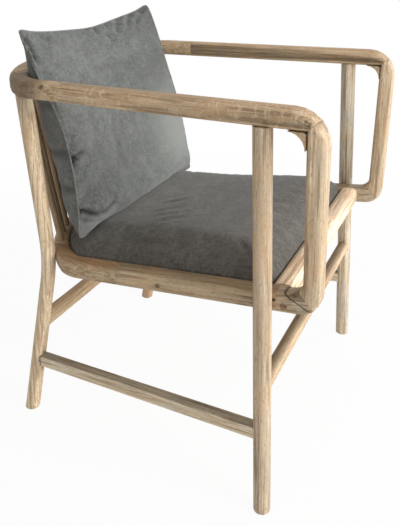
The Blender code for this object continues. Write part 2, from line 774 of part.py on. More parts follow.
def make_back_leg(word, side):
    """A bent leg, let into the seat's corner. Returns its enlarged cutter."""
    bend = back_leg_at(BACK_LEG_BEND_Z, side)
    foot, top = back_leg_at(0, side), back_leg_at(ARM_UNDERSIDE, side)
    fall, rise = (foot - bend).normalized(), (top - bend).normalized()
    half = BACK_LEG_BEND_LENGTH / 2
    first, last = bend + fall * half, bend + rise * half
    points, radii = [foot + fall * CUT_OVERRUN], [BACK_LEG_FOOT_RADIUS]
    for step in range(FILLET_STEPS + 1):
        share = step / FILLET_STEPS
        points.append(first.lerp(bend, share).lerp(bend.lerp(last, share), share))
        radii.append(BACK_LEG_BEND_RADIUS)
    points.append(top + rise * CUT_OVERRUN)
    radii.append(BACK_LEG_TOP_RADIUS)
    trims = [(Vector(), -UP), (UP * (ARM_UNDERSIDE - GAP), UP)]
    name = f"back_leg_{word}"
    nodes[name] = leg = bent_bar(name, points, radii, OAK, trims)
    chamfer_foot(leg)
    tenon(leg, nodes[f"crest_corner_{word}"], top, top + rise * LEG_TENON_LENGTH, LEG_TENON_RADIUS)
    cutter = as_helper(bent_bar(f"{name} clearance", points, [radius + GAP for radius in radii], OAK))
    boolean(nodes[f"seat_corner_{word}"], cutter, "DIFFERENCE")

    # A screw from inside the seat's corner pulls it in.
    rail_z = SEAT_FRAME_Z - SEAT_SLOPE * bend.y
    axis = back_leg_at(rail_z, side)
    inward = Vector((-axis.x, SEAT_ARC_CENTRE_Y - axis.y, 0)).normalized()
    inner = Vector((0, SEAT_ARC_CENTRE_Y, axis.z)) - inward * (SEAT_ARC_RADIUS - SEAT_RAIL_WIDTH / 2)
    head = inner - inward * LEG_SCREW_SUNK
    neck = head - inward * SCREW_HEAD_LENGTH
    tip = head - inward * LEG_SCREW_LENGTH
    name = f"back_leg_screw_{word}"
    nodes[name] = screw(name, head, neck, tip)
    for held in (nodes[f"seat_corner_{word}"], leg):
        hole(held, inner + inward * CUT_OVERRUN, neck - inward * GAP, SCREW_HEAD_RADIUS + GAP)
        hole(held, head, tip - inward * GAP, SCREW_SHANK_RADIUS + GAP)
    return cutter


def stretcher(name, body, start, end, start_leg, end_leg):
    """Copes a stretcher to its legs and gives it a tenon in each. A leg comes with its cutter and radius."""
    for (leg, cutter, radius), axis, other in ((start_leg, start, end), (end_leg, end, start)):
        boolean(body, cutter, "DIFFERENCE")
        inward = (axis - other).normalized()
        root = axis - inward * radius
        tenon(body, leg, root, root + inward * STRETCHER_TENON_DEPTH, STRETCHER_TENON_RADIUS)
    nodes[name] = body


def upright_bar(name, start, end, width, height, material):
    """A straight bar of rounded section between two points, with its height upright."""
    frame = upright_frame(start, end - start, UP)
    section = profile(f"{name} profile", height, width, STRETCHER_EDGE_RADIUS)
    return sweep(name, frame, [Vector((0, 0)), Vector(((end - start).length, 0))], section, material)


def make_stretchers(cutters_of):
    for word, side in SIDES:
        start, end = front_leg_at(SIDE_STRETCHER_FRONT_Z, side), back_leg_at(SIDE_STRETCHER_BACK_Z, side)
        name = f"side_stretcher_{word}"
        body = upright_bar(name, start, end, SIDE_STRETCHER_WIDTH, SIDE_STRETCHER_HEIGHT, OAK)
        front = nodes[f"front_leg_{word}"], cutters_of["front", word], FRONT_LEG_FOOT_RADIUS
        back = nodes[f"back_leg_{word}"], cutters_of["back", word], BACK_LEG_FOOT_RADIUS
        stretcher(name, body, start, end, front, back)
    ends = [front_leg_at(FRONT_STRETCHER_Z, side) for _, side in SIDES]
    body = round_bar("front_stretcher", *ends, FRONT_STRETCHER_RADIUS, FRONT_STRETCHER_RADIUS, OAK)
    legs = [(nodes[f"front_leg_{word}"], cutters_of["front", word], FRONT_LEG_FOOT_RADIUS) for word, _ in SIDES]
    stretcher("front_stretcher", body, *ends, *legs)
    ends = [back_leg_at(BACK_STRETCHER_Z, side) for _, side in SIDES]
    body = upright_bar("back_stretcher", *ends, BACK_STRETCHER_WIDTH, BACK_STRETCHER_HEIGHT, OAK)
    legs = [(nodes[f"back_leg_{word}"], cutters_of["back", word], BACK_LEG_FOOT_RADIUS) for word, _ in SIDES]
    stretcher("back_stretcher", body, *ends, *legs)


def make_spindles():
    for number in range(SPINDLE_COUNT):
        x = (number - (SPINDLE_COUNT - 1) / 2) * SPINDLE_SPACING
        low = seat_place(x, arc_y(seat_loop, x), SEAT_RAIL_HEIGHT / 2)
        high = Vector((x, arc_y(top_loop, x), ARM_UNDERSIDE))
        rise = (high - low).normalized()
        start, end = low - rise * SPINDLE_SEAT_DEPTH, high + rise * SPINDLE_CREST_DEPTH
        name = f"back_spindle_{number + 1}"
        nodes[name] = round_bar(name, start, end, SPINDLE_RADIUS, SPINDLE_RADIUS, OAK, (), HOLE_SIDES)
        seats, crests = ["seat_back_rail"], ["crest_rail"]
        if number in (0, SPINDLE_COUNT - 1):
            hand = "right" if number == 0 else "left"
            seats.append(f"seat_corner_{hand}")
            crests.append(f"crest_corner_{hand}")
        for receiver in seats:
            hole(nodes[receiver], start - rise * GAP, low + rise * CUT_OVERRUN, SPINDLE_RADIUS + GAP)
        for receiver in crests:
            hole(nodes[receiver], high - rise * CUT_OVERRUN, end + rise * GAP, SPINDLE_RADIUS + GAP)


# Seat pad


def pad_outline(inset):
    """The opening of the seat frame, drawn in by an even distance, in the seat's plane."""
    loop = inset_loop(seat_loop, SEAT_RAIL_WIDTH / 2 + inset)
    front = -FRONT_RAIL_AHEAD + FRONT_RAIL_DEPTH / 2 + inset
    right, left = (corner_path(loop, 0, front, side, PAD_STEP_LENGTH, PAD_FILLET_STEPS) for _, side in SIDES)
    corners = [(place, 0) for place in right[:-1]]
    corners += [(right[-2].lerp(right[-1], 0.5), 0), (right[-1], PAD_FRONT_CORNER_RADIUS)]
    corners += [(right[-1].lerp(left[-1], 0.5), 0), (left[-1], PAD_FRONT_CORNER_RADIUS)]
    corners += [(left[-2].lerp(left[-1], 0.5), 0)] + [(place, 0) for place in left[-2:0:-1]]
    return rounded(corners, PAD_FILLET_STEPS)


def pad_cage(name, inset, bottom, drop, material, closed):
    """A crowned pad: walls up from bottom, then rings that close in towards its middle."""
    edge = SEAT_RAIL_HEIGHT / 2 + PAD_EDGE_RISE
    outline = pad_outline(inset)
    middle = sum(outline, Vector((0, 0))) / len(outline)
    levels = [(1, bottom), (1, edge - drop)]
    levels += [(share, edge + PAD_CROWN * (1 - share**PAD_CROWN_POWER) - drop) for share in PAD_RING_SHARES]
    bm = bmesh.new()
    first = bm.verts.new(outline[0].to_3d())
    verts = [first] + [bm.verts.new(point.to_3d()) for point in outline[1:]]
    edges = [bm.edges.new((verts[i - 1], verts[i])) for i in range(len(verts))]
    ring = edges
    bmesh.ops.translate(bm, vec=UP * bottom, verts=verts)
    if closed:
        bmesh.ops.contextual_create(bm, geom=edges)
    for (old_share, old_level), (share, level) in zip(levels, levels[1:]):
        grown = bmesh.ops.extrude_edge_only(bm, edges=ring)["geom"]
        fresh = [item for item in grown if isinstance(item, bmesh.types.BMVert)]
        ring = [
            item for item in grown if isinstance(item, bmesh.types.BMEdge) and all(v in fresh for v in item.verts)
        ]
        for vert in fresh:
            flat = middle + (vert.co.to_2d() - middle) * (share / old_share)
            vert.co = (flat.x, flat.y, level)
    hub = bm.verts.new((middle.x, middle.y, edge + PAD_CROWN - drop))
    for item in ring:
        bm.faces.new((*item.verts, hub))
    made = placed(name, finished(bm, name), seat_frame, material)
    smooth(made, 1)
    return made


def smooth(obj, levels):
    modifier = obj.modifiers.new("soft", "SUBSURF")
    modifier.levels = levels
    modifier.render_levels = levels


def thicken(obj, thickness):
    modifier = obj.modifiers.new("cloth", "SOLIDIFY")
    modifier.thickness = thickness
    modifier.offset = -1
    modifier.use_even_offset = True


def make_seat_pad():
    rail_top, rail_low = SEAT_RAIL_HEIGHT / 2, -SEAT_RAIL_HEIGHT / 2
    panel_top = rail_top - PANEL_BELOW_RAIL_TOP
    panel_low = panel_top - PANEL_THICKNESS
    panel_inset = COVER_EDGE_GAP + COVER_THICKNESS + PANEL_EDGE_GAP
    frame = seat_frame @ Matrix.Translation(UP * (panel_top + panel_low) / 2)
    nodes["seat_panel"] = board("seat_panel", frame, pad_outline(panel_inset), PANEL_THICKNESS, 0, PLYWOOD)
    cover_low = panel_low + GAP
    nodes["seat_cover"] = pad_cage("seat_cover", COVER_EDGE_GAP, cover_low, 0, SEAT_CLOTH, False)
    thicken(nodes["seat_cover"], COVER_THICKNESS)
    inset = COVER_EDGE_GAP + COVER_THICKNESS + FOAM_GAP
    drop = COVER_THICKNESS + FOAM_GAP
    nodes["seat_foam"] = pad_cage("seat_foam", inset, panel_top + GAP, drop, FOAM, True)

    cleat_top = panel_low - GAP
    for word, side in SIDES:
        inner = inset_loop(seat_loop, SEAT_RAIL_WIDTH / 2 + GAP + CLEAT_WIDTH / 2)
        ends = [on_side(inner, y, side).to_3d() for y in (CLEAT_FRONT_Y, CLEAT_BACK_Y)]
        flat = upright_frame(ends[0], ends[1] - ends[0], UP)
        low = Vector((0, rail_low, -CLEAT_WIDTH / 2))
        high = Vector(((ends[1] - ends[0]).length, cleat_top, CLEAT_WIDTH / 2))
        name = f"seat_cleat_{word}"
        nodes[name] = cleat = box(name, seat_frame @ flat, low, high, OAK)
        for number, sign in ((1, -1), (2, 1)):
            spot = (ends[0] + ends[1]) / 2 + (ends[1] - ends[0]).normalized() * sign * PANEL_SCREW_SPREAD / 2
            head = seat_place(spot.x, spot.y, rail_low)
            rise = seat_frame.col[2].to_3d()
            neck, tip = head + rise * SCREW_HEAD_LENGTH, head + rise * PANEL_SCREW_LENGTH
            name = f"panel_screw_{word}_{number}"
            nodes[name] = screw(name, head, neck, tip)
            hole(cleat, head - rise * CUT_OVERRUN, neck + rise * GAP, SCREW_HEAD_RADIUS + GAP)
            for held in (cleat, nodes["seat_panel"]):
                hole(held, head, tip + rise * GAP, SCREW_SHANK_RADIUS + GAP)


# Back cushion


def cushion_mid_surface(u, v):
    """How far the middle of the pillow lies ahead of its foot. u runs across it, -1 to 1, and v up it, 0 to 1."""
    side = CUSHION_SIDE_LEAN * v - CUSHION_SIDE_DIP * math.sin(math.pi * v)
    middle = CUSHION_MIDDLE_SET_BACK + CUSHION_MIDDLE_LEAN * v**CUSHION_MIDDLE_LEAN_POWER
    return -side - (middle - side) * (1 - u**2)


def cushion_cage(name, frame, material):
    """A pillow: two swollen panels that meet at the seam, drawn in between its ears and bowed to the back."""
    bm = bmesh.new()
    bmesh.ops.create_cube(bm, size=2)
    long_edges = [e for e in bm.edges if abs(e.verts[0].co.z - e.verts[1].co.z) < 1]
    bmesh.ops.subdivide_edges(bm, edges=long_edges, cuts=CUSHION_CELLS - 1, use_grid_fill=True)
    for vert in bm.verts:
        u, w, face = vert.co
        v = (w + 1) / 2
        depth, across = CUSHION_BACK_SWELL, CUSHION_BACK_FULLNESS
        if face > 0:
            depth, across = CUSHION_FRONT_SWELL, CUSHION_FRONT_FULLNESS
        upward = CUSHION_FOOT_FULLNESS if w < 0 else CUSHION_TOP_FULLNESS
        swell = ((1 - abs(u) ** across) * (1 - abs(w) ** upward)) ** CUSHION_SWELL_POWER_SHARE
        width = CUSHION_FOOT_WIDTH + (CUSHION_TOP_WIDTH - CUSHION_FOOT_WIDTH) * v
        x = u * (width / 2 - CUSHION_SIDE_DRAW * (1 - w**2))
        y = v * CUSHION_HEIGHT - CUSHION_TOP_DRAW * (1 - u**2) * v**4
        z = face * (CUSHION_EDGE_THICKNESS / 2 + depth * swell) + cushion_mid_surface(u, v)
        vert.co = (x, y, z)
    made = placed(name, finished(bm, name), frame, material)
    smooth(made, 1)
    return made


def surface_in_place(obj):
    """The evaluated mesh of an object, in world space."""
    bpy.context.view_layer.update()
    bm = bmesh.new()
    bm.from_object(obj, bpy.context.evaluated_depsgraph_get())
    bm.transform(obj.matrix_world)
    return bm


def travel_onto(piece, support, way):
    """How far a piece can travel that way before it meets the support."""
    moving, still = surface_in_place(piece), surface_in_place(support)
    travels = [math.inf]
    for points, tree, sight in (
        (moving.verts, BVHTree.FromBMesh(still), way),
        (still.verts, BVHTree.FromBMesh(moving), -way),
    ):
        hits = [tree.ray_cast(vert.co, sight) for vert in points]
        travels += [hit[3] for hit in hits if hit[0] is not None]
    moving.free()
    still.free()
    return min(travels)


def make_cushion():
    nodes["back_cushion_cover"] = cover = cushion_cage("back_cushion_cover", cushion_frame, CUSHION_CLOTH)
    crest = [nodes[name] for name in ("crest_rail", "crest_corner_right", "crest_corner_left")]
    slide = min(travel_onto(cover, piece, BACKWARD) for piece in crest) - CUSHION_CREST_CLEARANCE
    cover.location += BACKWARD * slide
    frame = Matrix.Translation(BACKWARD * slide) @ cushion_frame
    thicken(cover, CUSHION_COVER_THICKNESS)
    middle = cushion_mid_surface(0, 0)
    low = Vector((-ZIP_LENGTH / 2, -ZIP_DEPTH, middle - ZIP_WIDTH / 2))
    high = Vector((ZIP_LENGTH / 2, ZIP_DEPTH, middle + ZIP_WIDTH / 2))
    slit = as_helper(box("zip opening", frame, low, high, OAK))
    boolean(cover, slit, "DIFFERENCE")
    drop = travel_onto(cover, nodes["seat_cover"], -UP) - CUSHION_SEAT_CLEARANCE
    cover.location -= UP * drop
    slit.location -= UP * drop
    frame = Matrix.Translation(-UP * drop) @ frame
    nodes["back_cushion_filling"] = filling = cushion_cage("back_cushion_filling", frame, FILLING)
    modifier = filling.modifiers.new("inside the cover", "DISPLACE")
    modifier.mid_level = 0
    modifier.strength = -CUSHION_COVER_THICKNESS - FILLING_GAP


clear_scene()
parts = new_collection("armchair")
cutters = new_collection("armchair cutters")
OAK = new_material("oak", (0.56, 0.43, 0.29), 0.7)
PLUG_OAK = new_material("oak plug", (0.36, 0.24, 0.15), 0.7)
PLYWOOD = new_material("plywood", (0.60, 0.47, 0.32), 0.8)
STEEL = new_material("steel", (0.35, 0.34, 0.33), 0.4, 1.0)
FOAM = new_material("foam", (0.85, 0.80, 0.62), 0.95)
FILLING = new_material("fibre filling", (0.88, 0.87, 0.84), 0.95)
SEAT_CLOTH = new_material("seat linen", (0.105, 0.100, 0.092), 0.95)
CUSHION_CLOTH = new_material("cushion linen", (0.20, 0.21, 0.205), 0.95)

nodes = {}
chair = bpy.data.objects.new("chair", None)
parts.objects.link(chair)
top_loop = loop_shape(
    ARM_HALF_SPREAD, ARM_TAPER_SLOPE, CREST_ARC_RADIUS, CREST_ARC_CENTRE_Y, CREST_CORNER_RADIUS
)
seat_loop = loop_shape(
    SEAT_HALF_SPREAD, SEAT_TAPER_SLOPE, SEAT_ARC_RADIUS, SEAT_ARC_CENTRE_Y, SEAT_CORNER_RADIUS
)
arm_frame = Matrix.Translation(UP * (ARM_UNDERSIDE + ARM_HEIGHT / 2))
seat_frame = Matrix.Translation(UP * SEAT_FRAME_Z) @ Matrix.Rotation(-math.atan(SEAT_SLOPE), 4, "X")
pad_high = SEAT_RAIL_HEIGHT / 2 + PAD_EDGE_RISE + PAD_CROWN
crest_inner_y = CREST_ARC_CENTRE_Y + CREST_ARC_RADIUS - ARM_WIDTH / 2
crest_share = (ARM_UNDERSIDE + ARM_HEIGHT - SEAT_FRAME_Z - pad_high) / CUSHION_HEIGHT
cushion_reach = -cushion_mid_surface(0, crest_share) + CUSHION_BACK_SWELL + CUSHION_EDGE_THICKNESS / 2
cushion_y = crest_inner_y - cushion_reach - CUSHION_START_CLEARANCE
cushion_seat = seat_place(0, cushion_y, pad_high + CUSHION_SEAT_CLEARANCE)
cushion_frame = Matrix.Translation(cushion_seat) @ Matrix.Rotation(math.pi / 2, 4, "X")

make_crest()
for word, side in SIDES:
    make_arm(word, side)
make_seat_frame()
leg_cutters = {}
for word, side in SIDES:
    leg_cutters["front", word] = make_front_leg(word, side)
    leg_cutters["back", word] = make_back_leg(word, side)
make_stretchers(leg_cutters)
make_spindles()
make_seat_pad()
make_cushion()

front = -POST_TOP_AHEAD - POST_DEPTH / 2
back = CREST_ARC_CENTRE_Y + CREST_ARC_RADIUS + ARM_WIDTH / 2
chair.location.y = -(front + back) / 2
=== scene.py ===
"""Looks of the armchair: limed oak, washed linen, a seat pad and a loose back cushion with its folds."""

import math
import random

import bmesh
import bpy
import numpy as np
from mathutils import Matrix, Vector, noise


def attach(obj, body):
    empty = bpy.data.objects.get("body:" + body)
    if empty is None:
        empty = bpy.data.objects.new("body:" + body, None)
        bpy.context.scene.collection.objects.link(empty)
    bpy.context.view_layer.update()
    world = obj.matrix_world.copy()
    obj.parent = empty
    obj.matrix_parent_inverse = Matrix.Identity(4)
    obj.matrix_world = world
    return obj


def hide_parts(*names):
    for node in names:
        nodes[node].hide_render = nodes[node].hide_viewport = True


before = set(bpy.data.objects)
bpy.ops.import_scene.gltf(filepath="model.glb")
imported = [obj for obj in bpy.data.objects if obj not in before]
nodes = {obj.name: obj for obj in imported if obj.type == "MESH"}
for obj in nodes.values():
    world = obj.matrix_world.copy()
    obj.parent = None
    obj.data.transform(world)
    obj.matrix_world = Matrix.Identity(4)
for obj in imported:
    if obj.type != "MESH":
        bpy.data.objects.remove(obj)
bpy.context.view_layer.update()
FRAME_BODY = "chair_frame"
CUSHION_BODY = "back_cushion"

# Camera, solved from the lines of the photograph
PHOTO_HEIGHT = 526
CAMERA_PLACE = Vector((-1.0711, -0.5290, 0.8958))
CAMERA_YAW = math.radians(64.3803)
CAMERA_PITCH = math.radians(17.7857)
CAMERA_ROLL = math.radians(-1.0180)
CAMERA_FOCAL_PIXELS = 641.12
CAMERA_AXIS_ROW = 150.0
SENSOR_MM = 36.0

# Floor, lamps and world. The floor glows only where it is seen, a little less near the chair
FLOOR_SIZE = 40.0
FLOOR_SHADE = (0.86, 0.86, 0.86, 1)
FLOOR_ROUGHNESS = 0.95
FLOOR_GLOW_SHARES = (0.93, 1.0)
FLOOR_GLOW_START, FLOOR_GLOW_END = 0.7, 1.9
LAMP_AIM = Vector((0, 0, 0.42))
KEY_PLACE, KEY_SIZE, KEY_WATTS = Vector((-0.55, -3.4, 1.7)), 1.6, 92.0
SIDE_PLACE, SIDE_SIZE, SIDE_WATTS = Vector((2.5, -2.2, 1.25)), 1.2, 42.0
WORLD_DIM, WORLD_BRIGHT = 0.15, 0.70
WORLD_BRIGHT_WAY = Vector((-0.60, -0.62, 0.50))

# Back cushion, in its own frame: X across, Y up, Z ahead of its foot.
# Places on it are u across and w up, from -1 to 1, or v up, from 0 to 1
CUSHION_FOOT_Y = 0.1281
CUSHION_FOOT_Z = 0.3955
CUSHION_FOOT_WIDTH = 0.4175
CUSHION_TOP_WIDTH = 0.441
CUSHION_HEIGHT = 0.3683
CUSHION_FRONT_SWELL = 0.0425
CUSHION_BACK_SWELL = 0.066
CUSHION_SIDE_DRAW = 0.0115
CUSHION_TOP_DRAW, CUSHION_TOP_DRAW_POWER = 0.022, 4
CUSHION_TOP_SKEW = 0.001
CUSHION_SIDE_LEAN = 0.0814
CUSHION_SIDE_DIP = 0.020
CUSHION_ASKEW_FOOT = 0.0182
CUSHION_ASKEW_TOP = -0.0046
CUSHION_MIDDLE_LEAN, CUSHION_MIDDLE_LEAN_POWER = 0.1109, 0.6
CUSHION_FRONT_FULLNESS = 2.65
CUSHION_BACK_FULLNESS = 7.3
CUSHION_FOOT_FULLNESS = 11.7
CUSHION_TOP_FULLNESS = 2
CUSHION_SWELL_POWER = 0.747
CUSHION_BELLY, CUSHION_BELLY_AT, CUSHION_BELLY_SPREAD = 0.015, (-0.05, -0.88), (1.05, 0.34)
CUSHION_BELLY_EDGE_GAIN = 1.6
CUSHION_REAR_BULGE, CUSHION_BULGE_AT, CUSHION_BULGE_SPREAD = 0.010, (-0.90, 0.44), (0.16, 0.14)
CUSHION_TOP_VALLEY, CUSHION_VALLEY_AT, CUSHION_VALLEY_SPREAD = 0.004, 0.12, 0.30
CUSHION_VALLEY_POWER = 6
CUSHION_NEAR_BEND, CUSHION_BEND_AT, CUSHION_BEND_SPREAD = 0.009, 0.80, 0.16
CUSHION_FAR_DRAW, CUSHION_DRAW_AT, CUSHION_DRAW_SPREAD = 0.005, 0.30, 0.35
CUSHION_CELLS = 100
CUSHION_CROWDING_SHARE = 0.86
SEAM_RADIUS, SEAM_ROUNDING = 0.0014, 2

# Corners of the cushion. All are pulled in by one length, and each ear, at its u and w, is drawn out
# and up by its own
CUSHION_CORNER_PULL, CUSHION_CORNER_POWER = 0.006, 16
CUSHION_EAR_REACH = (0.13, 0.13)
CUSHION_EARS = (
    (-1, -1, -0.006, -0.009),
    (-1, 1, -0.006, 0.005),
    (1, 1, -0.003, 0.007),
    (1, -1, -0.001, -0.004),
)

# Folds of the front panel: path in X and Y, depth, half width, lip share, and the shares of the path
# where the fold has grown to its depth and where it starts to fade
FRONT_FOLDS = (
    (
        (
            (-0.214, 0.047),
            (-0.2002, 0.0457),
            (-0.1805, 0.034),
            (-0.1575, 0.0275),
            (-0.139, 0.0345),
            (-0.1182, 0.0391),
        ),
        0.0095,
        0.0042,
        0.55,
        (0.0, 0.55),
    ),
    (((-0.200, 0.0286), (-0.182, 0.024), (-0.158, 0.014)), 0.0030, 0.0050, 0.5, (0.0, 0.5)),
    (
        ((-0.206, 0.138), (-0.1999, 0.1446), (-0.1822, 0.1469), (-0.1619, 0.1515)),
        0.0085,
        0.0042,
        0.6,
        (0.0, 0.40),
    ),
    (((-0.205, 0.122), (-0.2005, 0.134), (-0.199, 0.141)), 0.0080, 0.0050, 0.3, (0.2, 1.0)),
    (((-0.165, 0.032), (-0.1362, 0.0391), (-0.1128, 0.0560)), 0.0028, 0.0060, 0.6, (0.1, 0.5)),
    (((-0.212, 0.352), (-0.204, 0.332), (-0.197, 0.304)), 0.0080, 0.0045, 0.5, (0.0, 0.5)),
    (((0.184, 0.366), (0.205, 0.371)), 0.0050, 0.0060, 0.3, (0.0, 1.0)),
    (((-0.0451, 0.1385), (-0.0600, 0.0900)), 0.0018, 0.0120, 0.4, (0.3, 0.7)),
    (((0.0, 0.352), (0.055, 0.325), (0.10, 0.318)), 0.0016, 0.0060, 0.6, (0.2, 0.5)),
    (((-0.160, 0.352), (-0.115, 0.330)), 0.0022, 0.0080, 0.5, (0.1, 0.4)),
)
FOLD_LIP_AT_WIDTHS = 2.1

# Short ripples under the top seam: u at their top and at their foot
RIPPLES = ((0.95, 0.62), (0.78, 0.50), (0.60, 0.36), (0.42, 0.24), (0.24, 0.10), (0.08, -0.06))
RIPPLE_TOP_SHARE, RIPPLE_FOOT_SHARE = 0.985, 0.87
RIPPLE_DEPTH, RIPPLE_WIDTH, RIPPLE_LIP_SHARE, RIPPLE_FADE_SHARES = 0.0024, 0.0045, 0.6, (0.0, 0.5)

# Folds at the sides of the back panel: share of the height, share of the half width, and depth
BACK_FOLDS = ((0.66, 0.16, 0.002), (0.42, 0.30, 0.003), (0.24, 0.22, 0.003))
BACK_FOLD_DROP_SHARE = 0.06
BACK_FOLD_WIDTH, BACK_FOLD_LIP_SHARE, BACK_FOLD_FADE_SHARES = 0.007, 0.5, (0.0, 0.4)

# Painted shade of the folds: the depth at which it is fully dark, and the share laid over the whole back
# panel.
# Paler patches of the front panel, partly wear and partly painted light, as u and its spread, w and its
# spread, and share
FOLD_SHADE_FULL_DEPTH = 0.006
REAR_PAINTED_SHADE_SHARE = 0.24
WORN_AND_LIT_PATCHES = (
    # A painted light on the lower right of the front panel, where it turns towards the light
    (0.80, 0.42, -0.45, 0.55, 0.65),
    (-0.80, 0.20, -0.94, 0.09, 0.70),
    (0.30, 0.55, -0.93, 0.07, 0.35),
)

# Seat pad
PAD_STEP = 0.0065
PAD_OUTLINE_DIGITS = 5
PAD_RING_COUNT, PAD_RING_POWER = 34, 0.75
PAD_EDGE_RISE, PAD_EDGE_RISE_SHARE = 0.004, 0.6
PAD_CROWN, PAD_CROWN_POWER = 0.036, 10
PAD_CORNER_BULGE, PAD_CORNER_POWER = 0.003, 4
PAD_TOP_AT_MIDDLE = 0.3713
PAD_DEPTH, PAD_WAIST_SHARE = 0.024, 0.4
PAD_HELD_RINGS = 3
SEAT_SLOPE = 0.0838

# Creases of the seat pad: path in X and Y, depth and half width
PAD_FOLDS = (
    (((-0.0968, 0.0461), (-0.070, 0.010), (-0.042, -0.0333)), 0.0018, 0.0050),
    (((-0.1336, 0.0147), (-0.110, -0.022), (-0.0853, -0.0641)), 0.0020, 0.0055),
    (((-0.0462, 0.0409), (-0.022, 0.012), (-0.0005, -0.0137)), 0.0016, 0.0050),
    (((-0.115, 0.032), (-0.092, -0.005), (-0.066, -0.048)), 0.0014, 0.0050),
    (((-0.175, 0.075), (-0.185, 0.02), (-0.183, -0.05)), 0.0022, 0.0100),
)
PAD_FOLD_LIP_SHARE, PAD_FOLD_FADE_SHARES = 0.6, (0.15, 0.6)

# Cloth under pressure, how far it may move a point of each piece, and the least move divided by
CLOTH_FRAMES = 20
CLOTH_PRESSURE = 4.0
CLOTH_QUALITY = 6
CLOTH_MASS = 0.35
CLOTH_STIFFNESS, CLOTH_SHEAR, CLOTH_BENDING = 12, 4, 0.25
CUSHION_SPARE_SHARE, PAD_SPARE_SHARE = 0.035, 0.035 / 3
CUSHION_CAP, CUSHION_REAR_CAP_SHARE = 0.0035, 0.2
PAD_CAP = 0.004
LEAST_MOVE = 1e-9

# Lumps of the cushion's filling: waves a metre and height
CUSHION_LUMPS = ((16, 0.0022), (38, 0.0008))

# Shading of the solids: points closer than this are one, faces within the flat angle are joined, and
# edges past the sharp angle stay crisp
MERGE_DISTANCE = 0.00002
FLAT_ANGLE = math.radians(0.5)
SHARP_ANGLE = math.radians(38)


def shade(red, green, blue):
    """A colour given as it looks on a screen, 0 to 255, as the linear colour of a shader."""
    linear = []
    for level in (red, green, blue):
        share = level / 255
        linear.append(share / 12.92 if share < 0.04045 else ((share + 0.055) / 1.055) ** 2.4)
    return (*linear, 1)


# Oak's tones. The knot tone also paints a broad shade over the crest corner
OAK_MID, OAK_PALE, OAK_BROWN = shade(207, 181, 146), shade(231, 210, 178), shade(170, 139, 104)
OAK_WARM, OAK_GREY = shade(212, 172, 130), shade(184, 168, 143)
OAK_PORE, OAK_RAY, OAK_KNOT_AND_PAINTED_SHADE = shade(136, 108, 80), shade(232, 212, 180), shade(58, 42, 30)

# Oak's patterns, with X along the grain: waves a metre, detail and roughness of the noise
OAK_SHIFT = 2
OAK_SWAY, OAK_SWAY_PATTERN = 0.012, ((4.0, 14.0, 14.0), 2.0)
OAK_PATTERNS = {
    "bands": ((5.0, 90.0, 90.0), 3.0, 0.5),
    "streaks": ((13.0, 380.0, 380.0), 3.0, 0.65),
    "rings": ((7.0, 210.0, 210.0), 2.0, 0.5),
    "pores": ((110.0, 800.0, 800.0), 3.0, 0.6),
}
OAK_CLOUD = (16.0, 4.0, 0.6)

# Oak's layers, each a pattern, its low and high with the layer's share at each, and the tone laid on
OAK_BAND_SPAN = (0.30, 0.60, 0.25, 1.0)
OAK_LAYERS = (
    ("streaks", (0.48, 0.72, 0.0, 0.80), OAK_PALE),
    ("streaks", (0.30, 0.46, 0.50, 0.0), OAK_BROWN),
    ("rings", (0.36, 0.46, 0.60, 0.0), OAK_PORE),
    ("cloud", (0.50, 0.72, 0.0, 0.45), OAK_WARM),
    ("cloud", (0.28, 0.46, 0.50, 0.0), OAK_GREY),
)
OAK_GROOVE_SPAN = (0.54, 0.68, 0.0, 0.60)
# How far a face looks up where the painted light and shade of the tops starts and where it is full
PAINTED_TOP_LOW, PAINTED_TOP_HIGH = 0.45, 0.95
OAK_CAST_LOW, OAK_CAST_HIGH, OAK_CAST_SWING = 0.30, 0.75, 0.25
OAK_ROUGHNESS_SPAN = (0.3, 0.8, 0.58, 0.74)
OAK_SPECULAR = 0.3
OAK_STREAK_HEIGHT_SHARE, OAK_BUMP_SHARE, OAK_BUMP = 0.7, 0.45, 0.0009

# Ray flecks, the pale bars that cross quarter-sawn oak
FLECK_NODES, FLECK_SHARE = ("arm_rail_right", "crest_corner_right"), 0.55
FLECK_BEND, FLECK_BEND_SHARE = {"Scale": 34.0, "Detail": 2.0}, 0.035
FLECK_BARS, FLECK_BAR_SPAN = ((230.0, 70.0, 70.0), 1.0), (0.57, 0.66)
FLECK_WHERE, FLECK_WHERE_SPAN = (14.0, 1.0), (0.36, 0.52)

# Dark marks and lines: the waves a metre of the noise that makes a mark's edge ragged and the share of it
# that is blended in, the soft share of a mark's radius, and the full share of a line's half width
RAGGED_WAVES, RAGGED_SHARE = 160.0, 0.006
MARK_SOFT_SHARE = 0.5
CRACK_CORE_SHARE = 0.4

# Words in the names of the oak members
WOOD_WORDS = ("rail", "corner", "post", "gusset", "leg", "stretcher", "spindle", "cleat")

# Painted light and shade on the faces that look up: painted shade darkens the tops of the seat rails and
# stretchers under the seat, and the tops of the arm and front rails get a warmer painted light. By a word in
# the node's name: shade and share. The first match counts
TOP_PAINTED_LIGHT_AND_SHADE = {
    "arm_rail": (shade(214, 180, 144), 0.45),
    "seat_side_rail": (shade(168, 142, 108), 0.85),
    "seat_corner": (shade(168, 131, 94), 0.85),
    "seat_front_rail": (shade(214, 176, 138), 0.60),
    "back_stretcher": (shade(200, 174, 140), 0.40),
    "stretcher": (shade(132, 116, 94), 0.85),
}

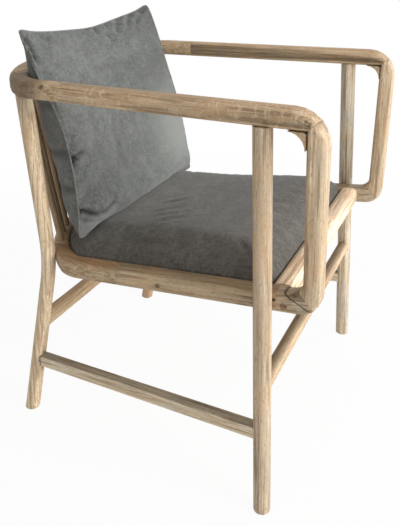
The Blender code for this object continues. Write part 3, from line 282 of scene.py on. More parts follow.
# Tones of the whole piece, told in the same way: partly the wood's own tone and partly painted light and
# shade, which brightens the lit legs, posts and front rail and darkens the shaded crest corner and spindles
PIECE_TONES_AND_PAINTED_LIGHT = {
    "crest_corner": (shade(176, 152, 120), 0.40),
    "arm_gusset": (shade(176, 158, 130), 0.35),
    "foot_corner": (shade(170, 160, 138), 0.50),
    "seat_front_rail": (shade(248, 228, 196), 1.0),
    "seat_side_rail": (shade(160, 142, 114), 0.40),
    "seat_corner": (shade(160, 142, 114), 0.40),
    "arm_rail": (shade(184, 158, 126), 0.35),
    "arm_post": (shade(209, 186, 154), 1.0),
    "spindle": (shade(150, 120, 88), 0.35),
    "back_leg_right": (shade(246, 224, 190), 0.65),
    "front_leg_left": (shade(218, 204, 180), 0.90),
    "front_leg_right": (shade(202, 181, 153), 0.90),
    "side_stretcher": (shade(226, 209, 180), 0.90),
}

# Knots, nail holes, dark spots and one broad painted shade by node: place, radius and share
DARK_MARKS_AND_PAINTED_SHADE = {
    "crest_corner_right": (
        # A broad painted shade over the back corner of the crest
        ((-0.240, 0.212, 0.680), 0.080, 0.60),
        ((-0.2593, 0.1449, 0.679), 0.0055, 0.75),
    ),
    "seat_side_rail_right": (
        ((-0.250, -0.0515, 0.3558), 0.006, 0.65),
        ((-0.2541, -0.2558, 0.3814), 0.0042, 0.9),
        ((-0.252, -0.205, 0.352), 0.016, 0.35),
    ),
    "foot_corner_right": (
        ((-0.251, -0.297, 0.400), 0.017, 0.50),
        ((-0.254, -0.284, 0.394), 0.009, 0.45),
    ),
    "arm_rail_right": (
        ((-0.2767, -0.3035, 0.6708), 0.004, 0.6),
        ((-0.2767, -0.3085, 0.6680), 0.004, 0.7),
        ((-0.2741, -0.2456, 0.660), 0.008, 0.35),
    ),
}

# Dark joint lines by node: place, normal, half width and share
CRACKS = {
    "foot_corner_right": (((-0.254, -0.2803, 0.3901), (0, 0.45, -0.893), 0.0018, 0.80),),
    "side_stretcher_right": (((-0.2292, 0.2238, 0.134), (0, 1, 0), 0.0026, 0.75),),
}

# Linen's tones: middle, pale and dark
CUSHION_TONES = (shade(106, 108, 105), shade(127, 129, 126), shade(82, 84, 81))
SEAM_TONES = (shade(124, 126, 121), shade(144, 146, 141), shade(100, 102, 98))
SEAT_TONES = (shade(96, 93, 87), shade(117, 114, 108), shade(74, 69, 61))
# How much paler the pale patches of wear and painted light are, and the tone and share of the painted shade
# in folds and on the back panel
FADED_AND_LIT_GAIN, PAINTED_SHADE_TONE_SHARE, PAINTED_SHADE_SHARE = 1.5, 0.25, 0.75

# Linen's patterns and layers, told as the oak's are
LINEN_SHIFT = (0.3, 0.7, 0.1)
LINEN_PATTERNS = {
    "warp": ((620.0, 90.0, 90.0), 2.0),
    "weft": ((90.0, 620.0, 90.0), 2.0),
    "slub": ((240.0, 30.0, 30.0), 3.0),
    "slub across": ((30.0, 240.0, 30.0), 3.0),
    "speck": (170.0, 4.0, 0.65),
    "cloud": (36.0, 6.0, 0.62),
    "broad": (8.0, 3.0, 0.5),
}
LINEN_YARN_SPAN = (0.34, 0.62)
LINEN_LAYERS = (
    ("speck", (0.46, 0.70, 0.0, 0.55), "pale"),
    ("speck", (0.30, 0.46, 0.45, 0.0), "dark"),
    ("slub", (0.54, 0.80, 0.0, 0.30), "pale"),
    ("slub across", (0.54, 0.80, 0.0, 0.25), "pale"),
    ("cloud", (0.44, 0.70, 0.0, 0.50), "pale"),
    ("broad", (0.35, 0.60, 0.30, 0.0), "dark"),
)
LINEN_ROUGHNESS, LINEN_SPECULAR = 0.92, 0.15
LINEN_SHEEN, LINEN_SHEEN_ROUGHNESS = 0.25, 0.5
LINEN_CLOUD_HEIGHT, LINEN_BUMP_SHARE, LINEN_BUMP = 1.2, 0.45, 0.0011

# Finishes of small parts: two tones, roughness, metallic, and the waves a metre of their grain
FINE_GRAIN = (220.0, (1.0, 1.0, 1.0))
SHEET_GRAIN = (1.0, (14.0, 300.0, 300.0))
PLUG_FINISH = (shade(150, 118, 94), shade(112, 84, 64), 0.7, 0.0, *FINE_GRAIN)
PIN_FINISH = (shade(40, 32, 26), shade(24, 20, 17), 0.8, 0.0, *FINE_GRAIN)
ZINC_FINISH = (shade(176, 176, 174), shade(150, 150, 149), 0.35, 1.0, *FINE_GRAIN)
PLY_FINISH = (shade(206, 180, 140), shade(190, 160, 120), 0.7, 0.0, *SHEET_GRAIN)
SMALL_DETAIL, SMALL_TONE_SPAN, SMALL_GLOSS_SPAN, SMALL_GLOSS_SWING = 4.0, (0.35, 0.65), (0.3, 0.7), 0.08
SMALL_BUMP_SHARE, SMALL_BUMP = 0.25, 0.0004


# Materials


class Tree:
    """A material's nodes, made by short calls. A value that is a socket is linked, any other is set."""

    def __init__(self, name):
        self.material = bpy.data.materials.new(name)
        self.material.use_nodes = True
        self.nodes = self.material.node_tree.nodes
        self.links = self.material.node_tree.links
        self.nodes.clear()
        self.shader = self.nodes.new("ShaderNodeBsdfPrincipled")
        self.output = self.nodes.new("ShaderNodeOutputMaterial")
        self.links.new(self.shader.outputs[0], self.output.inputs["Surface"])

    def put(self, socket, value):
        if isinstance(value, bpy.types.NodeSocket):
            self.links.new(value, socket)
        else:
            socket.default_value = value

    def add(self, kind, inputs, output=0, **settings):
        made = self.nodes.new(kind)
        for key, value in settings.items():
            setattr(made, key, value)
        for key, value in inputs.items():
            self.put(made.inputs[key], value)
        return made.outputs[output]

    def finish(self, **values):
        """Sets the shader's inputs. An underscore stands for a space."""
        for key, value in values.items():
            self.put(self.shader.inputs[key.replace("_", " ")], value)

    def coordinates(self, kind="Object"):
        return self.nodes.new("ShaderNodeTexCoord").outputs[kind]

    def noise(self, vector, waves, detail, rough=0.55):
        """Noise of that many waves a metre: one number, or one for each axis."""
        if isinstance(waves, tuple):
            vector, waves = self.stretch(vector, waves), 1.0
        values = {"Vector": vector, "Scale": waves, "Detail": detail, "Roughness": rough}
        return self.add("ShaderNodeTexNoise", values)

    def stretch(self, vector, scales):
        return self.add("ShaderNodeMapping", {"Vector": vector, "Scale": scales})

    def turn(self, vector, rows, offset):
        turned = Matrix(rows).to_euler()
        return self.add("ShaderNodeMapping", {"Vector": vector, "Rotation": turned, "Location": offset})

    def span(self, value, low, high, to_low=0.0, to_high=1.0):
        """Runs smoothly from to_low to to_high as the value runs from low to high."""
        values = {0: value, 1: low, 2: high, 3: to_low, 4: to_high}
        return self.add("ShaderNodeMapRange", values, interpolation_type="SMOOTHSTEP")

    def calc(self, operation, first, second=0.0):
        return self.add("ShaderNodeMath", {0: first, 1: second}, operation=operation)

    def blend(self, share, first, second, mode="MIX"):
        values = {0: share, 6: first, 7: second}
        return self.add("ShaderNodeMix", values, 2, data_type="RGBA", blend_type=mode)

    def layered(self, colour, fields, layers):
        """Lays tones over a colour. A layer is the name of a field, a span of it and a tone."""
        for field, span, tone in layers:
            colour = self.blend(self.span(fields[field], *span), colour, tone)
        return colour

    def spot(self, vector, place, radius):
        """1 inside a ball at place, fading to 0 at its radius."""
        away = self.add("ShaderNodeVectorMath", {0: vector, 1: place}, 1, operation="DISTANCE")
        return self.span(away, radius * (1 - MARK_SOFT_SHARE), radius, 1.0, 0.0)

    def line(self, vector, place, normal, half_width):
        """1 in the plane through place, fading to 0 at the half width."""
        offset = self.add("ShaderNodeVectorMath", {0: vector, 1: place}, operation="SUBTRACT")
        depth = self.add("ShaderNodeVectorMath", {0: offset, 1: normal}, 1, operation="DOT_PRODUCT")
        return self.span(self.calc("ABSOLUTE", depth), half_width * CRACK_CORE_SHARE, half_width, 1.0, 0.0)

    def bump(self, height, strength, distance):
        values = {"Height": height, "Strength": strength, "Distance": distance}
        self.put(self.shader.inputs["Normal"], self.add("ShaderNodeBump", values))


def grain_rows(obj, seed):
    """The rows of a turn that lays an object's length along X, with its rings at a chance angle."""
    points = np.array([v.co for v in obj.data.vertices])
    points = points - points.mean(0)
    along = Vector(np.linalg.svd(points, full_matrices=False)[2][0]).normalized()
    side = along.orthogonal().normalized()
    chance = random.Random(seed)
    side.rotate(Matrix.Rotation(chance.uniform(0, math.pi), 3, along))
    return along, side, along.cross(side)


def against_mid(colour):
    """A colour as a share of the oak's middle tone, to multiply by."""
    return tuple(c / mid for c, mid in zip(colour[:3], OAK_MID)) + (1,)


def flecks(tree, flat):
    """Where the ray flecks are."""
    bend = tree.add("ShaderNodeTexNoise", {"Vector": flat, **FLECK_BEND}, 1)
    bent = tree.blend(FLECK_BEND_SHARE, flat, bend)
    bars = tree.span(tree.noise(bent, *FLECK_BARS), *FLECK_BAR_SPAN)
    where = tree.span(tree.noise(flat, *FLECK_WHERE), *FLECK_WHERE_SPAN)
    return tree.calc("MULTIPLY", bars, where)


def oak(name, rows, seed, top, cast, fleck_share, marks, cracks):
    """Limed oak with fine fibres and pores.

    top is (shade, share) of the painted light and shade on the faces that look up, and cast is (shade, share)
    of the whole piece's tone, partly the wood's own and partly painted light and shade. marks are dark spots,
    one of them a broad painted shade, as (place, radius, share), and cracks are dark lines in a plane as
    (place, normal, half width, share).
    """
    chance = random.Random(seed)
    tree = Tree(name)
    world = tree.coordinates()
    offset = tuple(chance.uniform(-OAK_SHIFT, OAK_SHIFT) for _ in range(3))
    flat = tree.turn(world, rows, offset)
    sway = tree.calc("SUBTRACT", tree.noise(flat, *OAK_SWAY_PATTERN), 0.5)
    sway = tree.calc("MULTIPLY", sway, OAK_SWAY)
    shift = tree.add("ShaderNodeCombineXYZ", {1: sway, 2: sway})
    wavy = tree.add("ShaderNodeVectorMath", {0: flat, 1: shift})
    fields = {field: tree.noise(wavy, *pattern) for field, pattern in OAK_PATTERNS.items()}
    fields["cloud"] = tree.noise(flat, *OAK_CLOUD)

    colour = tree.blend(tree.span(fields["bands"], *OAK_BAND_SPAN), OAK_BROWN, OAK_MID)
    colour = tree.layered(colour, fields, OAK_LAYERS)
    groove = tree.span(fields["pores"], *OAK_GROOVE_SPAN)
    colour = tree.blend(groove, colour, OAK_PORE)
    if fleck_share:
        colour = tree.blend(tree.calc("MULTIPLY", flecks(tree, flat), fleck_share), colour, OAK_RAY)
    # Painted light and shade on the faces that look up: darker tops under the seat, warmer tops on the arms
    facing = tree.add("ShaderNodeSeparateXYZ", {0: tree.coordinates("Normal")}, 2)
    upward = tree.span(facing, PAINTED_TOP_LOW, PAINTED_TOP_HIGH, 0.0, top[1])
    colour = tree.blend(upward, colour, against_mid(top[0]), "MULTIPLY")
    # The piece's tone, partly the wood's own and partly painted light and shade for how the piece is lit,
    # laid on unevenly
    if cast[1]:
        most, least = cast[1] * (1 + OAK_CAST_SWING), cast[1] * (1 - OAK_CAST_SWING)
        uneven = tree.span(fields["cloud"], OAK_CAST_LOW, OAK_CAST_HIGH, most, least)
        colour = tree.blend(uneven, colour, against_mid(cast[0]), "MULTIPLY")
    # Dark spots, one of them a broad painted shade
    for place, radius, share in marks:
        ragged = tree.add("ShaderNodeTexNoise", {"Vector": world, "Scale": RAGGED_WAVES}, 1)
        wobble = tree.blend(RAGGED_SHARE, world, ragged)
        centre = [c + RAGGED_SHARE * (0.5 - c) for c in place]
        colour = tree.blend(tree.calc("MULTIPLY", tree.spot(wobble, centre, radius), share), colour, OAK_KNOT_AND_PAINTED_SHADE)
    for place, normal, half_width, share in cracks:
        line = tree.line(world, place, normal, half_width)
        colour = tree.blend(tree.calc("MULTIPLY", line, share), colour, OAK_KNOT_AND_PAINTED_SHADE)
    roughness = tree.span(fields["streaks"], *OAK_ROUGHNESS_SPAN)
    tree.finish(Base_Color=colour, Roughness=roughness, Specular_IOR_Level=OAK_SPECULAR)
    height = tree.calc("SUBTRACT", tree.calc("MULTIPLY", fields["streaks"], OAK_STREAK_HEIGHT_SHARE), groove)
    tree.bump(height, OAK_BUMP_SHARE, OAK_BUMP)
    return tree.material


def linen(name, tones, rows):
    """Washed linen: crossed yarns, small stone-wash clouds, painted shade in the creases and on the back
    panel, pale patches of wear and painted light, and a soft sheen.
    """
    base, pale, dark = tones
    tree = Tree(name)
    flat = tree.turn(tree.coordinates(), rows, LINEN_SHIFT)
    fields = {field: tree.noise(flat, *pattern) for field, pattern in LINEN_PATTERNS.items()}
    yarn = tree.calc("MULTIPLY", tree.calc("ADD", fields["warp"], fields["weft"]), 0.5)
    colour = tree.blend(tree.span(yarn, *LINEN_YARN_SPAN), dark, base)
    named = {"pale": pale, "dark": dark}
    colour = tree.layered(colour, fields, [(field, span, named[tone]) for field, span, tone in LINEN_LAYERS])
    # Pale patches, partly wear and partly painted light
    worn_and_lit = tree.add("ShaderNodeAttribute", {}, 2, attribute_name="worn_and_lit")
    faded_and_lit = tuple(min(c * FADED_AND_LIT_GAIN, 1) for c in pale[:3]) + (1,)
    colour = tree.blend(worn_and_lit, colour, faded_and_lit)
    # Painted shade in the folds and over the back panel
    painted_shade = tree.add("ShaderNodeAttribute", {}, 2, attribute_name="painted_shade")
    deep = tuple(c * PAINTED_SHADE_TONE_SHARE for c in dark[:3]) + (1,)
    colour = tree.blend(tree.calc("MULTIPLY", painted_shade, PAINTED_SHADE_SHARE), colour, deep)
    tree.finish(Base_Color=colour, Roughness=LINEN_ROUGHNESS, Specular_IOR_Level=LINEN_SPECULAR)
    tree.finish(Sheen_Weight=LINEN_SHEEN, Sheen_Roughness=LINEN_SHEEN_ROUGHNESS)
    clouds = tree.calc("MULTIPLY", fields["cloud"], LINEN_CLOUD_HEIGHT)
    height = tree.calc("ADD", tree.calc("ADD", yarn, fields["speck"]), clouds)
    tree.bump(height, LINEN_BUMP_SHARE, LINEN_BUMP)
    return tree.material


def plain(name, colour, other, roughness, metallic, waves, stretch):
    """A small part's finish: two tones in a fine grain."""
    tree = Tree(name)
    grain = tree.noise(tree.stretch(tree.coordinates(), stretch), waves, SMALL_DETAIL)
    smooth, rough = roughness - SMALL_GLOSS_SWING, roughness + SMALL_GLOSS_SWING
    tree.finish(
        Base_Color=tree.blend(tree.span(grain, *SMALL_TONE_SPAN), colour, other),
        Roughness=tree.span(grain, *SMALL_GLOSS_SPAN, smooth, rough),
        Metallic=metallic,
    )
    tree.bump(grain, SMALL_BUMP_SHARE, SMALL_BUMP)
    return tree.material


# Camera, floor and light


def link(obj):
    bpy.context.scene.collection.objects.link(obj)
    return obj


def set_camera():
    """The camera of the photograph, with a shift that puts its axis on the photograph's own row."""
    sin_yaw, cos_yaw = math.sin(CAMERA_YAW), math.cos(CAMERA_YAW)
    sin_pitch, cos_pitch = math.sin(CAMERA_PITCH), math.cos(CAMERA_PITCH)
    ahead = Vector((sin_yaw * cos_pitch, cos_yaw * cos_pitch, -sin_pitch))
    right = Vector((cos_yaw, -sin_yaw, 0))
    above = right.cross(ahead)
    across = right * math.cos(CAMERA_ROLL) + above * math.sin(CAMERA_ROLL)
    rising = above * math.cos(CAMERA_ROLL) - right * math.sin(CAMERA_ROLL)
    data = bpy.data.cameras.new("camera")
    data.sensor_width = SENSOR_MM
    data.lens = CAMERA_FOCAL_PIXELS / PHOTO_HEIGHT * SENSOR_MM
    data.shift_y = (CAMERA_AXIS_ROW - PHOTO_HEIGHT / 2) / PHOTO_HEIGHT
    camera = link(bpy.data.objects.new("camera", data))
    turned = Matrix((across, rising, -ahead)).transposed().to_4x4()
    camera.matrix_world = Matrix.Translation(CAMERA_PLACE) @ turned
    bpy.context.scene.camera = camera


def seen(tree_nodes, links):
    """1 for camera, glossy and transmission rays."""
    path = tree_nodes.new("ShaderNodeLightPath")
    total = path.outputs["Is Camera Ray"]
    for name in ("Is Glossy Ray", "Is Transmission Ray"):
        larger = tree_nodes.new("ShaderNodeMath")
        larger.operation = "MAXIMUM"
        links.new(total, larger.inputs[0])
        links.new(path.outputs[name], larger.inputs[1])
        total = larger.outputs[0]
    return total


def set_floor():
    """A pale floor that keeps the shadow and looks white away from the chair."""
    bm = bmesh.new()
    bmesh.ops.create_grid(bm, x_segments=1, y_segments=1, size=FLOOR_SIZE / 2)
    mesh = bpy.data.meshes.new("floor")
    bm.to_mesh(mesh)
    bm.free()
    floor = link(bpy.data.objects.new("floor", mesh))
    tree = Tree("pale floor")
    tree.finish(Base_Color=FLOOR_SHADE, Roughness=FLOOR_ROUGHNESS, Specular_IOR_Level=0.0)
    away = tree.add("ShaderNodeVectorMath", {0: tree.coordinates()}, 1, operation="LENGTH")
    share = tree.span(away, FLOOR_GLOW_START, FLOOR_GLOW_END, *FLOOR_GLOW_SHARES)
    share = tree.calc("MULTIPLY", seen(tree.nodes, tree.links), share)
    glow = tree.add("ShaderNodeEmission", {})
    mix = tree.add("ShaderNodeMixShader", {0: share, 1: tree.shader.outputs[0], 2: glow})
    tree.links.new(mix, tree.output.inputs["Surface"])
    mesh.materials.append(tree.material)


def set_world():
    """A sky that is brighter on one side, and white where it is seen."""
    world = bpy.data.worlds.new("studio")
    bpy.context.scene.world = world
    world.use_nodes = True
    tree = world.node_tree
    back = next(n for n in tree.nodes if n.type == "BACKGROUND")
    mix = tree.nodes.new("ShaderNodeMix")
    tree.links.new(seen(tree.nodes, tree.links), mix.inputs[0])
    around = tree.nodes.new("ShaderNodeTexCoord")
    toward = tree.nodes.new("ShaderNodeVectorMath")
    toward.operation = "DOT_PRODUCT"
    tree.links.new(around.outputs["Generated"], toward.inputs[0])
    toward.inputs[1].default_value = WORLD_BRIGHT_WAY
    scale = tree.nodes.new("ShaderNodeMapRange")
    tree.links.new(toward.outputs["Value"], scale.inputs[0])
    for place, value in enumerate((-1.0, 1.0, WORLD_DIM, WORLD_BRIGHT), 1):
        scale.inputs[place].default_value = value
    tree.links.new(scale.outputs[0], mix.inputs[2])
    mix.inputs[3].default_value = 1.0
    tree.links.new(mix.outputs[0], back.inputs["Strength"])
    back.inputs["Color"].default_value = (1, 1, 1, 1)


def lamp(name, place, size, watts):
    data = bpy.data.lights.new(name, "AREA")
    data.size = size
    data.energy = watts
    made = link(bpy.data.objects.new(name, data))
    turned = (place - LAMP_AIM).to_track_quat("Z", "Y").to_matrix().to_4x4()
    made.matrix_world = Matrix.Translation(place) @ turned


# Wooden pieces


def dressed(node, material):
    """The node's own shape as one welded, smoothly shaded piece that stands for it."""
    bm = bmesh.new()
    bm.from_mesh(nodes[node].data)
    bmesh.ops.remove_doubles(bm, verts=bm.verts, dist=MERGE_DISTANCE)
    bmesh.ops.dissolve_limit(bm, angle_limit=FLAT_ANGLE, verts=bm.verts, edges=bm.edges)
    made = mesh_object(node + "_wood", bm, material)
    made.data.set_sharp_from_angle(angle=SHARP_ANGLE)
    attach(made, FRAME_BODY)
    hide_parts(node)


def first_match(table, node, otherwise):
    """The first entry whose word is in the node's name."""
    return next((value for word, value in table.items() if word in node), otherwise)


def dress_wood_and_small_parts():
    """Gives each oak member a dressed piece with its own grain, and each small part its finish."""
    plug = plain("oak plug", *PLUG_FINISH)
    finishes = {
        "screw_plug": plug,
        "leg_dowel": plug,
        "gusset_pin": plain("dark pin", *PIN_FINISH),
        "screw": plain("zinc", *ZINC_FINISH),
        "seat_panel": plain("birch plywood", *PLY_FINISH),
    }
    untoned = (OAK_MID, 0.0)
    for number, node in enumerate(sorted(nodes)):
        finish = first_match(finishes, node, None)
        if finish:
            nodes[node].data.materials.clear()
            nodes[node].data.materials.append(finish)
        elif any(word in node for word in WOOD_WORDS):
            rows = grain_rows(nodes[node], number)
            top, cast = first_match(TOP_PAINTED_LIGHT_AND_SHADE, node, untoned), first_match(PIECE_TONES_AND_PAINTED_LIGHT, node, untoned)
            fleck_share = FLECK_SHARE if node in FLECK_NODES else 0.0
            marks, cracks = DARK_MARKS_AND_PAINTED_SHADE.get(node, ()), CRACKS.get(node, ())
            dressed(node, oak("oak " + node, rows, number, top, cast, fleck_share, marks, cracks))


# Soft pieces


def finish_piece(obj, body, replaced):
    """Puts a padded piece on its body in place of the nodes that it stands for."""
    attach(obj, body)
    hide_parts(*replaced)


def mesh_object(name, bm, material):
    mesh = bpy.data.meshes.new(name)
    bm.to_mesh(mesh)
    bm.free()
    mesh.shade_smooth()
    mesh.materials.append(material)
    return link(bpy.data.objects.new(name, mesh))


def places(data):
    """The points of a mesh as rows of an array."""
    flat = np.empty(len(data.vertices) * 3)
    data.vertices.foreach_get("co", flat)
    return flat.reshape(-1, 3)


def set_places(obj, points):
    obj.data.vertices.foreach_set("co", np.ascontiguousarray(points, dtype=np.float64).ravel())
    obj.data.update()


def set_attribute(obj, name, values):
    made = obj.data.attributes.new(name, "FLOAT", "POINT")
    made.data.foreach_set("value", values)


def inflate(obj, pinned, cap, spare):
    """Cloth under pressure, held at its pinned vertices. No point ends further than cap from its start."""
    start = places(obj.data)
    group = obj.vertex_groups.new(name="pinned")
    group.add([int(i) for i in pinned], 1.0, "REPLACE")
    modifier = obj.modifiers.new("cloth", "CLOTH")
    settings = modifier.settings
    settings.vertex_group_mass = "pinned"
    settings.quality = CLOTH_QUALITY
    settings.mass = CLOTH_MASS
    settings.use_pressure = True
    settings.uniform_pressure_force = CLOTH_PRESSURE
    settings.tension_stiffness = CLOTH_STIFFNESS
    settings.compression_stiffness = CLOTH_STIFFNESS
    settings.shear_stiffness = CLOTH_SHEAR
    settings.bending_stiffness = CLOTH_BENDING
    settings.shrink_min = -spare
    settings.effector_weights.gravity = 0
    modifier.collision_settings.use_collision = False
    modifier.point_cache.frame_start = 1
    modifier.point_cache.frame_end = CLOTH_FRAMES
    scene = bpy.context.scene
    for step in range(1, CLOTH_FRAMES + 1):
        scene.frame_set(step)
    swollen = obj.evaluated_get(bpy.context.evaluated_depsgraph_get())
    end = places(swollen.data)
    obj.modifiers.remove(modifier)
    obj.vertex_groups.remove(group)
    scene.frame_set(1)
    move = end - start
    length = np.linalg.norm(move, axis=1, keepdims=True)
    share = cap * np.tanh(length / cap) / np.maximum(length, LEAST_MOVE)
    set_places(obj, start + move * share)


def near_path(points, path):
    """For each point of a plane, its distance to a path and how far along the path that is, 0 to 1."""
    path = np.array(path, float)
    lengths = np.linalg.norm(path[1:] - path[:-1], axis=1)
    total, run = lengths.sum(), 0.0
    best = np.full(len(points), np.inf)
    along = np.zeros(len(points))
    for first, second, length in zip(path[:-1], path[1:], lengths):
        way = (second - first) / length
        reach = np.clip((points - first) @ way, 0, length)
        away = np.linalg.norm(points - first - reach[:, None] * way, axis=1)
        better = away < best
        best[better] = away[better]
        along[better] = (run + reach[better]) / total
        run += length
    return best, along


def fold(points, path, deep, width, lip, fade):
    """The height of a groove of that depth and half width along a path, with a raised lip beside it."""
    away, along = near_path(points, path)
    first, last = fade
    taper = np.ones(len(points))
    if first:
        taper *= np.clip(along / first, 0, 1)
    if last < 1:
        taper *= np.clip((1 - along) / (1 - last), 0, 1)
    groove = -np.exp(-((away / width) ** 2))
    rim = lip * np.exp(-(((away - FOLD_LIP_AT_WIDTHS * width) / width) ** 2))
    return deep * (groove + rim) * taper


def bell(value, middle, spread):
    return math.exp(-(((value - middle) / spread) ** 2))


def hump(u, w, middle, spread):
    return bell(u, middle[0], spread[0]) * bell(w, middle[1], spread[1])


def cushion_point(u, w, face):
    """A point of the pillow. face is 1 in front, -1 behind and 0 at the seam."""
    v = (w + 1) / 2
    depth, across = CUSHION_FRONT_SWELL, CUSHION_FRONT_FULLNESS
    if face < 0:
        depth, across = CUSHION_BACK_SWELL, CUSHION_BACK_FULLNESS
    upward = CUSHION_FOOT_FULLNESS if w < 0 else CUSHION_TOP_FULLNESS
    swell = 0
    if face:
        swell = ((1 - abs(u) ** across) * (1 - abs(w) ** upward)) ** CUSHION_SWELL_POWER
    corner = abs(u * w) ** CUSHION_CORNER_POWER * CUSHION_CORNER_PULL

    width = CUSHION_FOOT_WIDTH + (CUSHION_TOP_WIDTH - CUSHION_FOOT_WIDTH) * v
    x = u * (width / 2 - CUSHION_SIDE_DRAW * (1 - w**2)) - math.copysign(corner, u)
    x -= CUSHION_FAR_DRAW * max(u, 0) * bell(w, CUSHION_DRAW_AT, CUSHION_DRAW_SPREAD)

    top_draw = CUSHION_TOP_DRAW * (1 - u**2) * v**CUSHION_TOP_DRAW_POWER
    y = v * CUSHION_HEIGHT - top_draw + CUSHION_TOP_SKEW * u * v - math.copysign(corner, w)
    y -= CUSHION_TOP_VALLEY * bell(u, CUSHION_VALLEY_AT, CUSHION_VALLEY_SPREAD) * v**CUSHION_VALLEY_POWER
    for ear_u, ear_w, out, rise in CUSHION_EARS:
        near = hump(u, w, (ear_u, ear_w), CUSHION_EAR_REACH)
        x += out * near
        y += rise * near

    askew = CUSHION_ASKEW_FOOT * (1 - v) + CUSHION_ASKEW_TOP * v
    side = CUSHION_SIDE_LEAN * v - CUSHION_SIDE_DIP * math.sin(math.pi * v) - askew * (1 + u) / 2
    side += CUSHION_NEAR_BEND * (1 - u) / 2 * bell(v, CUSHION_BEND_AT, CUSHION_BEND_SPREAD)
    middle = CUSHION_MIDDLE_LEAN * v**CUSHION_MIDDLE_LEAN_POWER
    z = face * depth * swell - side - (middle - side) * (1 - u**2)
    if face > 0:
        belly = hump(u, w, CUSHION_BELLY_AT, CUSHION_BELLY_SPREAD)
        z += CUSHION_BELLY * belly * min(1, swell * CUSHION_BELLY_EDGE_GAIN)
    if face < 0:
        z -= CUSHION_REAR_BULGE * hump(u, v, CUSHION_BULGE_AT, CUSHION_BULGE_SPREAD) * swell
    return Vector((x, y, z))


def make_cushion(material):
    """Two panels that share a seam, which runs out into the ears. Also each point's u, w, face, x and y."""
    foot = Matrix.Translation(Vector((0, CUSHION_FOOT_Y, CUSHION_FOOT_Z)))
    place = foot @ Matrix.Rotation(math.pi / 2, 4, "X")
    count = CUSHION_CELLS
    quarter = math.pi / 2 * CUSHION_CROWDING_SHARE
    steps = [math.sin((i / count * 2 - 1) * quarter) / math.sin(quarter) for i in range(count + 1)]
    bm = bmesh.new()
    rim, facts = {}, []
    for face in (1, -1):
        rows = []
        for j, w in enumerate(steps):
            row = []
            for i, u in enumerate(steps):
                edge = i in (0, count) or j in (0, count)
                if edge and (i, j) in rim:
                    row.append(rim[i, j])
                    continue
                point = cushion_point(u, w, 0 if edge else face)
                vert = bm.verts.new(place @ point)
                facts.append((u, w, 0 if edge else face, point.x, point.y))
                if edge:
                    rim[i, j] = vert
                row.append(vert)
            rows.append(row)
        for j in range(count):
            for i in range(count):
                corners = (rows[j][i], rows[j][i + 1], rows[j + 1][i + 1], rows[j + 1][i])
                bm.faces.new(corners if face > 0 else corners[::-1])
    bm.verts.index_update()
    ring = [(i, 0) for i in range(count)] + [(count, j) for j in range(count)]
    ring += [(i, count) for i in range(count, 0, -1)] + [(0, j) for j in range(count, 0, -1)]
    seam = [rim[key].index for key in ring]
    return mesh_object("back_cushion_linen", bm, material), np.array(facts), seam


def lump(point):
    """How far the filling stands out at a point."""
    return sum(noise.noise(point * waves) * rise for waves, rise in CUSHION_LUMPS)


def fold_cushion(obj, facts):
    """The folds of the front panel, of the back panel's sides and along the top seam, with their painted
    shade, the painted shade of the back panel and pale patches of wear and painted light.
    """
    u, w, face, x, y = facts.T
    flat = np.stack([x, y], 1)
    half, high = CUSHION_FOOT_WIDTH / 2, CUSHION_HEIGHT
    front = np.zeros(len(x))
    for path, deep, width, lip, fade in FRONT_FOLDS:
        front += fold(flat, path, deep, width, lip, fade)
    for start, end in RIPPLES:
        path = [(half * start, high * RIPPLE_TOP_SHARE), (half * end, high * RIPPLE_FOOT_SHARE)]
        front += fold(flat, path, RIPPLE_DEPTH, RIPPLE_WIDTH, RIPPLE_LIP_SHARE, RIPPLE_FADE_SHARES)
    back = np.zeros(len(x))
    for height, length, deep in BACK_FOLDS:
        for side in (-1, 1):
            inner = (side * half * (1 - length), high * (height - BACK_FOLD_DROP_SHARE))
            path = [(side * half, high * height), inner]
            back += fold(flat, path, deep, BACK_FOLD_WIDTH, BACK_FOLD_LIP_SHARE, BACK_FOLD_FADE_SHARES)
    push = np.where(face > 0, front, np.where(face < 0, back, 0))
    # Painted shade: darker with a fold's depth, and over the whole back panel
    set_attribute(obj, "painted_shade", np.clip(-push / FOLD_SHADE_FULL_DEPTH + REAR_PAINTED_SHADE_SHARE * (face < 0), 0, 1))
    worn_and_lit = np.zeros(len(x))
    for middle_u, spread_u, middle_w, spread_w, share in WORN_AND_LIT_PATCHES:
        patch = np.exp(-(((u - middle_u) / spread_u) ** 2) - ((w - middle_w) / spread_w) ** 2)
        worn_and_lit += share * patch * (face > 0)
    set_attribute(obj, "worn_and_lit", np.clip(worn_and_lit, 0, 1))
    points = places(obj.data)
    normals = np.array([vert.normal for vert in obj.data.vertices])
    lumps = np.array([lump(Vector(point)) for point in points])
    push = push + lumps * (face != 0)
    set_places(obj, points + normals * push[:, None])


def make_seam(cushion, loop, material):
    """The cushion's stitched edge: a thin closed roll along the given vertices."""
    points = places(cushion.data)[loop]
    curve = bpy.data.curves.new("back_cushion_seam", "CURVE")
    curve.dimensions = "3D"
    curve.bevel_depth = SEAM_RADIUS
    curve.bevel_resolution = SEAM_ROUNDING
    spline = curve.splines.new("POLY")
    spline.points.add(len(points) - 1)
    for point, place in zip(spline.points, points):
        point.co = (*place, 1)
    spline.use_cyclic_u = True
    helper = link(bpy.data.objects.new("back_cushion_seam", curve))
    bpy.context.view_layer.update()
    mesh = bpy.data.meshes.new_from_object(helper.evaluated_get(bpy.context.evaluated_depsgraph_get()))
    bpy.data.objects.remove(helper)
    mesh.materials.clear()
    mesh.materials.append(material)
    mesh.shade_smooth()
    made = link(bpy.data.objects.new("back_cushion_seam", mesh))
    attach(made, CUSHION_BODY)


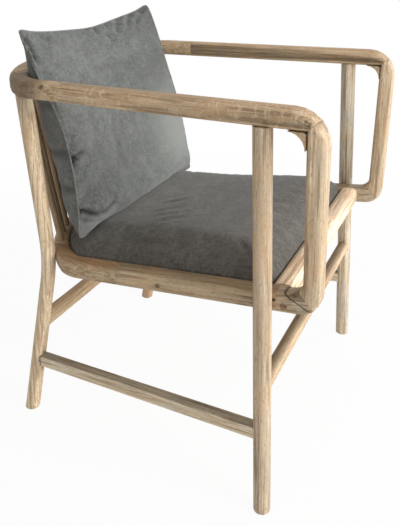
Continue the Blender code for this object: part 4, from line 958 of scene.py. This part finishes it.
def plan_outline(node):
    """The outline of a node seen from above, as the convex ring of its points."""
    digits = PAD_OUTLINE_DIGITS
    points = sorted({(round(v.co.x, digits), round(v.co.y, digits)) for v in nodes[node].data.vertices})

    def chain(run):
        kept = []
        for x, y in run:
            while len(kept) > 1:
                (first_x, first_y), (last_x, last_y) = kept[-2:]
                turn = (last_x - first_x) * (y - first_y) - (last_y - first_y) * (x - first_x)
                if turn > 0:
                    break
                kept.pop()
            kept.append((x, y))
        return kept[:-1]

    ring = np.array(chain(points) + chain(points[::-1]))
    closed = np.vstack([ring, ring[:1]])
    run = np.concatenate([[0], np.cumsum(np.linalg.norm(np.diff(closed, axis=0), axis=1))])
    count = int(run[-1] / PAD_STEP)
    at = np.linspace(0, run[-1], count, endpoint=False)
    return np.stack([np.interp(at, run, closed[:, 0]), np.interp(at, run, closed[:, 1])], 1)


def pad_level(y, rise):
    """The height of the seat at y, and that much more."""
    return PAD_TOP_AT_MIDDLE - SEAT_SLOPE * y + rise


def fold_pad(obj):
    """Slack creases in the seat's cloth, ahead of the back cushion, with their painted shade."""
    points = places(obj.data)
    depth = np.zeros(len(points))
    for path, deep, width in PAD_FOLDS:
        depth += fold(points[:, :2], path, deep, width, PAD_FOLD_LIP_SHARE, PAD_FOLD_FADE_SHARES)
    upper = points[:, 2] > pad_level(points[:, 1], PAD_EDGE_RISE)
    points[:, 2] += depth * upper
    set_places(obj, points)
    # Painted shade in the creases
    set_attribute(obj, "painted_shade", np.clip(-depth / FOLD_SHADE_FULL_DEPTH, 0, 1) * upper)


def make_pad(material):
    """The seat pad: an upright edge, then rings that rise and close in over its crown."""
    outline = plan_outline("seat_cover")
    middle = (outline.min(0) + outline.max(0)) / 2
    away = outline - middle
    corner = np.clip(away[:, 1] / away[:, 1].max(), 0, 1) * np.abs(away[:, 0]) / away[:, 0].max()
    bulge = PAD_CORNER_BULGE * np.clip(corner / corner.max(), 0, 1) ** PAD_CORNER_POWER
    outline = outline + away / np.linalg.norm(away, axis=1, keepdims=True) * bulge[:, None]
    rings = [
        (1.0, -PAD_DEPTH),
        (1.0, -PAD_DEPTH * PAD_WAIST_SHARE),
        (1.0, 0.0),
        (1.0, PAD_EDGE_RISE * PAD_EDGE_RISE_SHARE),
    ]
    for k in range(1, PAD_RING_COUNT):
        share = math.cos(k / PAD_RING_COUNT * math.pi / 2) ** PAD_RING_POWER
        rings.append((share, PAD_EDGE_RISE + PAD_CROWN * (1 - share**PAD_CROWN_POWER)))
    bm = bmesh.new()
    rows = []
    for share, rise in rings:
        row = []
        for point in outline:
            x, y = middle + (point - middle) * share
            row.append(bm.verts.new((x, y, pad_level(y, rise))))
        rows.append(row)
    hub = bm.verts.new((*middle, pad_level(middle[1], PAD_EDGE_RISE + PAD_CROWN)))
    base = bm.verts.new((*middle, pad_level(middle[1], -PAD_DEPTH)))
    count = len(outline)
    for lower, upper in zip(rows, rows[1:]):
        for i in range(count):
            j = (i + 1) % count
            bm.faces.new((lower[i], lower[j], upper[j], upper[i]))
    for i in range(count):
        j = (i + 1) % count
        bm.faces.new((rows[-1][i], rows[-1][j], hub))
        bm.faces.new((rows[0][j], rows[0][i], base))
    held = [vert for row in rows[:PAD_HELD_RINGS] for vert in row] + [base]
    bm.verts.index_update()
    pinned = [vert.index for vert in held]
    return mesh_object("seat_pad_linen", bm, material), pinned


# The scene

set_camera()
set_floor()
set_world()
lamp("key", KEY_PLACE, KEY_SIZE, KEY_WATTS)
lamp("side", SIDE_PLACE, SIDE_SIZE, SIDE_WATTS)
dress_wood_and_small_parts()

upright = Matrix.Rotation(math.pi / 2, 3, "X").transposed()
cushion, facts, seam = make_cushion(linen("cushion linen", CUSHION_TONES, upright))
caps = CUSHION_CAP * np.where(facts[:, 2:3] < 0, CUSHION_REAR_CAP_SHARE, 1.0)
inflate(cushion, seam, caps, CUSHION_SPARE_SHARE)
fold_cushion(cushion, facts)
stands_for = ("back_cushion_cover", "back_cushion_filling")
finish_piece(cushion, CUSHION_BODY, stands_for)
make_seam(cushion, seam, linen("seam linen", SEAM_TONES, upright))

pad, pinned = make_pad(linen("seat linen", SEAT_TONES, Matrix.Identity(3)))
inflate(pad, pinned, PAD_CAP, PAD_SPARE_SHARE)
fold_pad(pad)
finish_piece(pad, FRAME_BODY, ("seat_cover", "seat_foam"))

bpy.context.scene.view_settings.view_transform = "Standard"
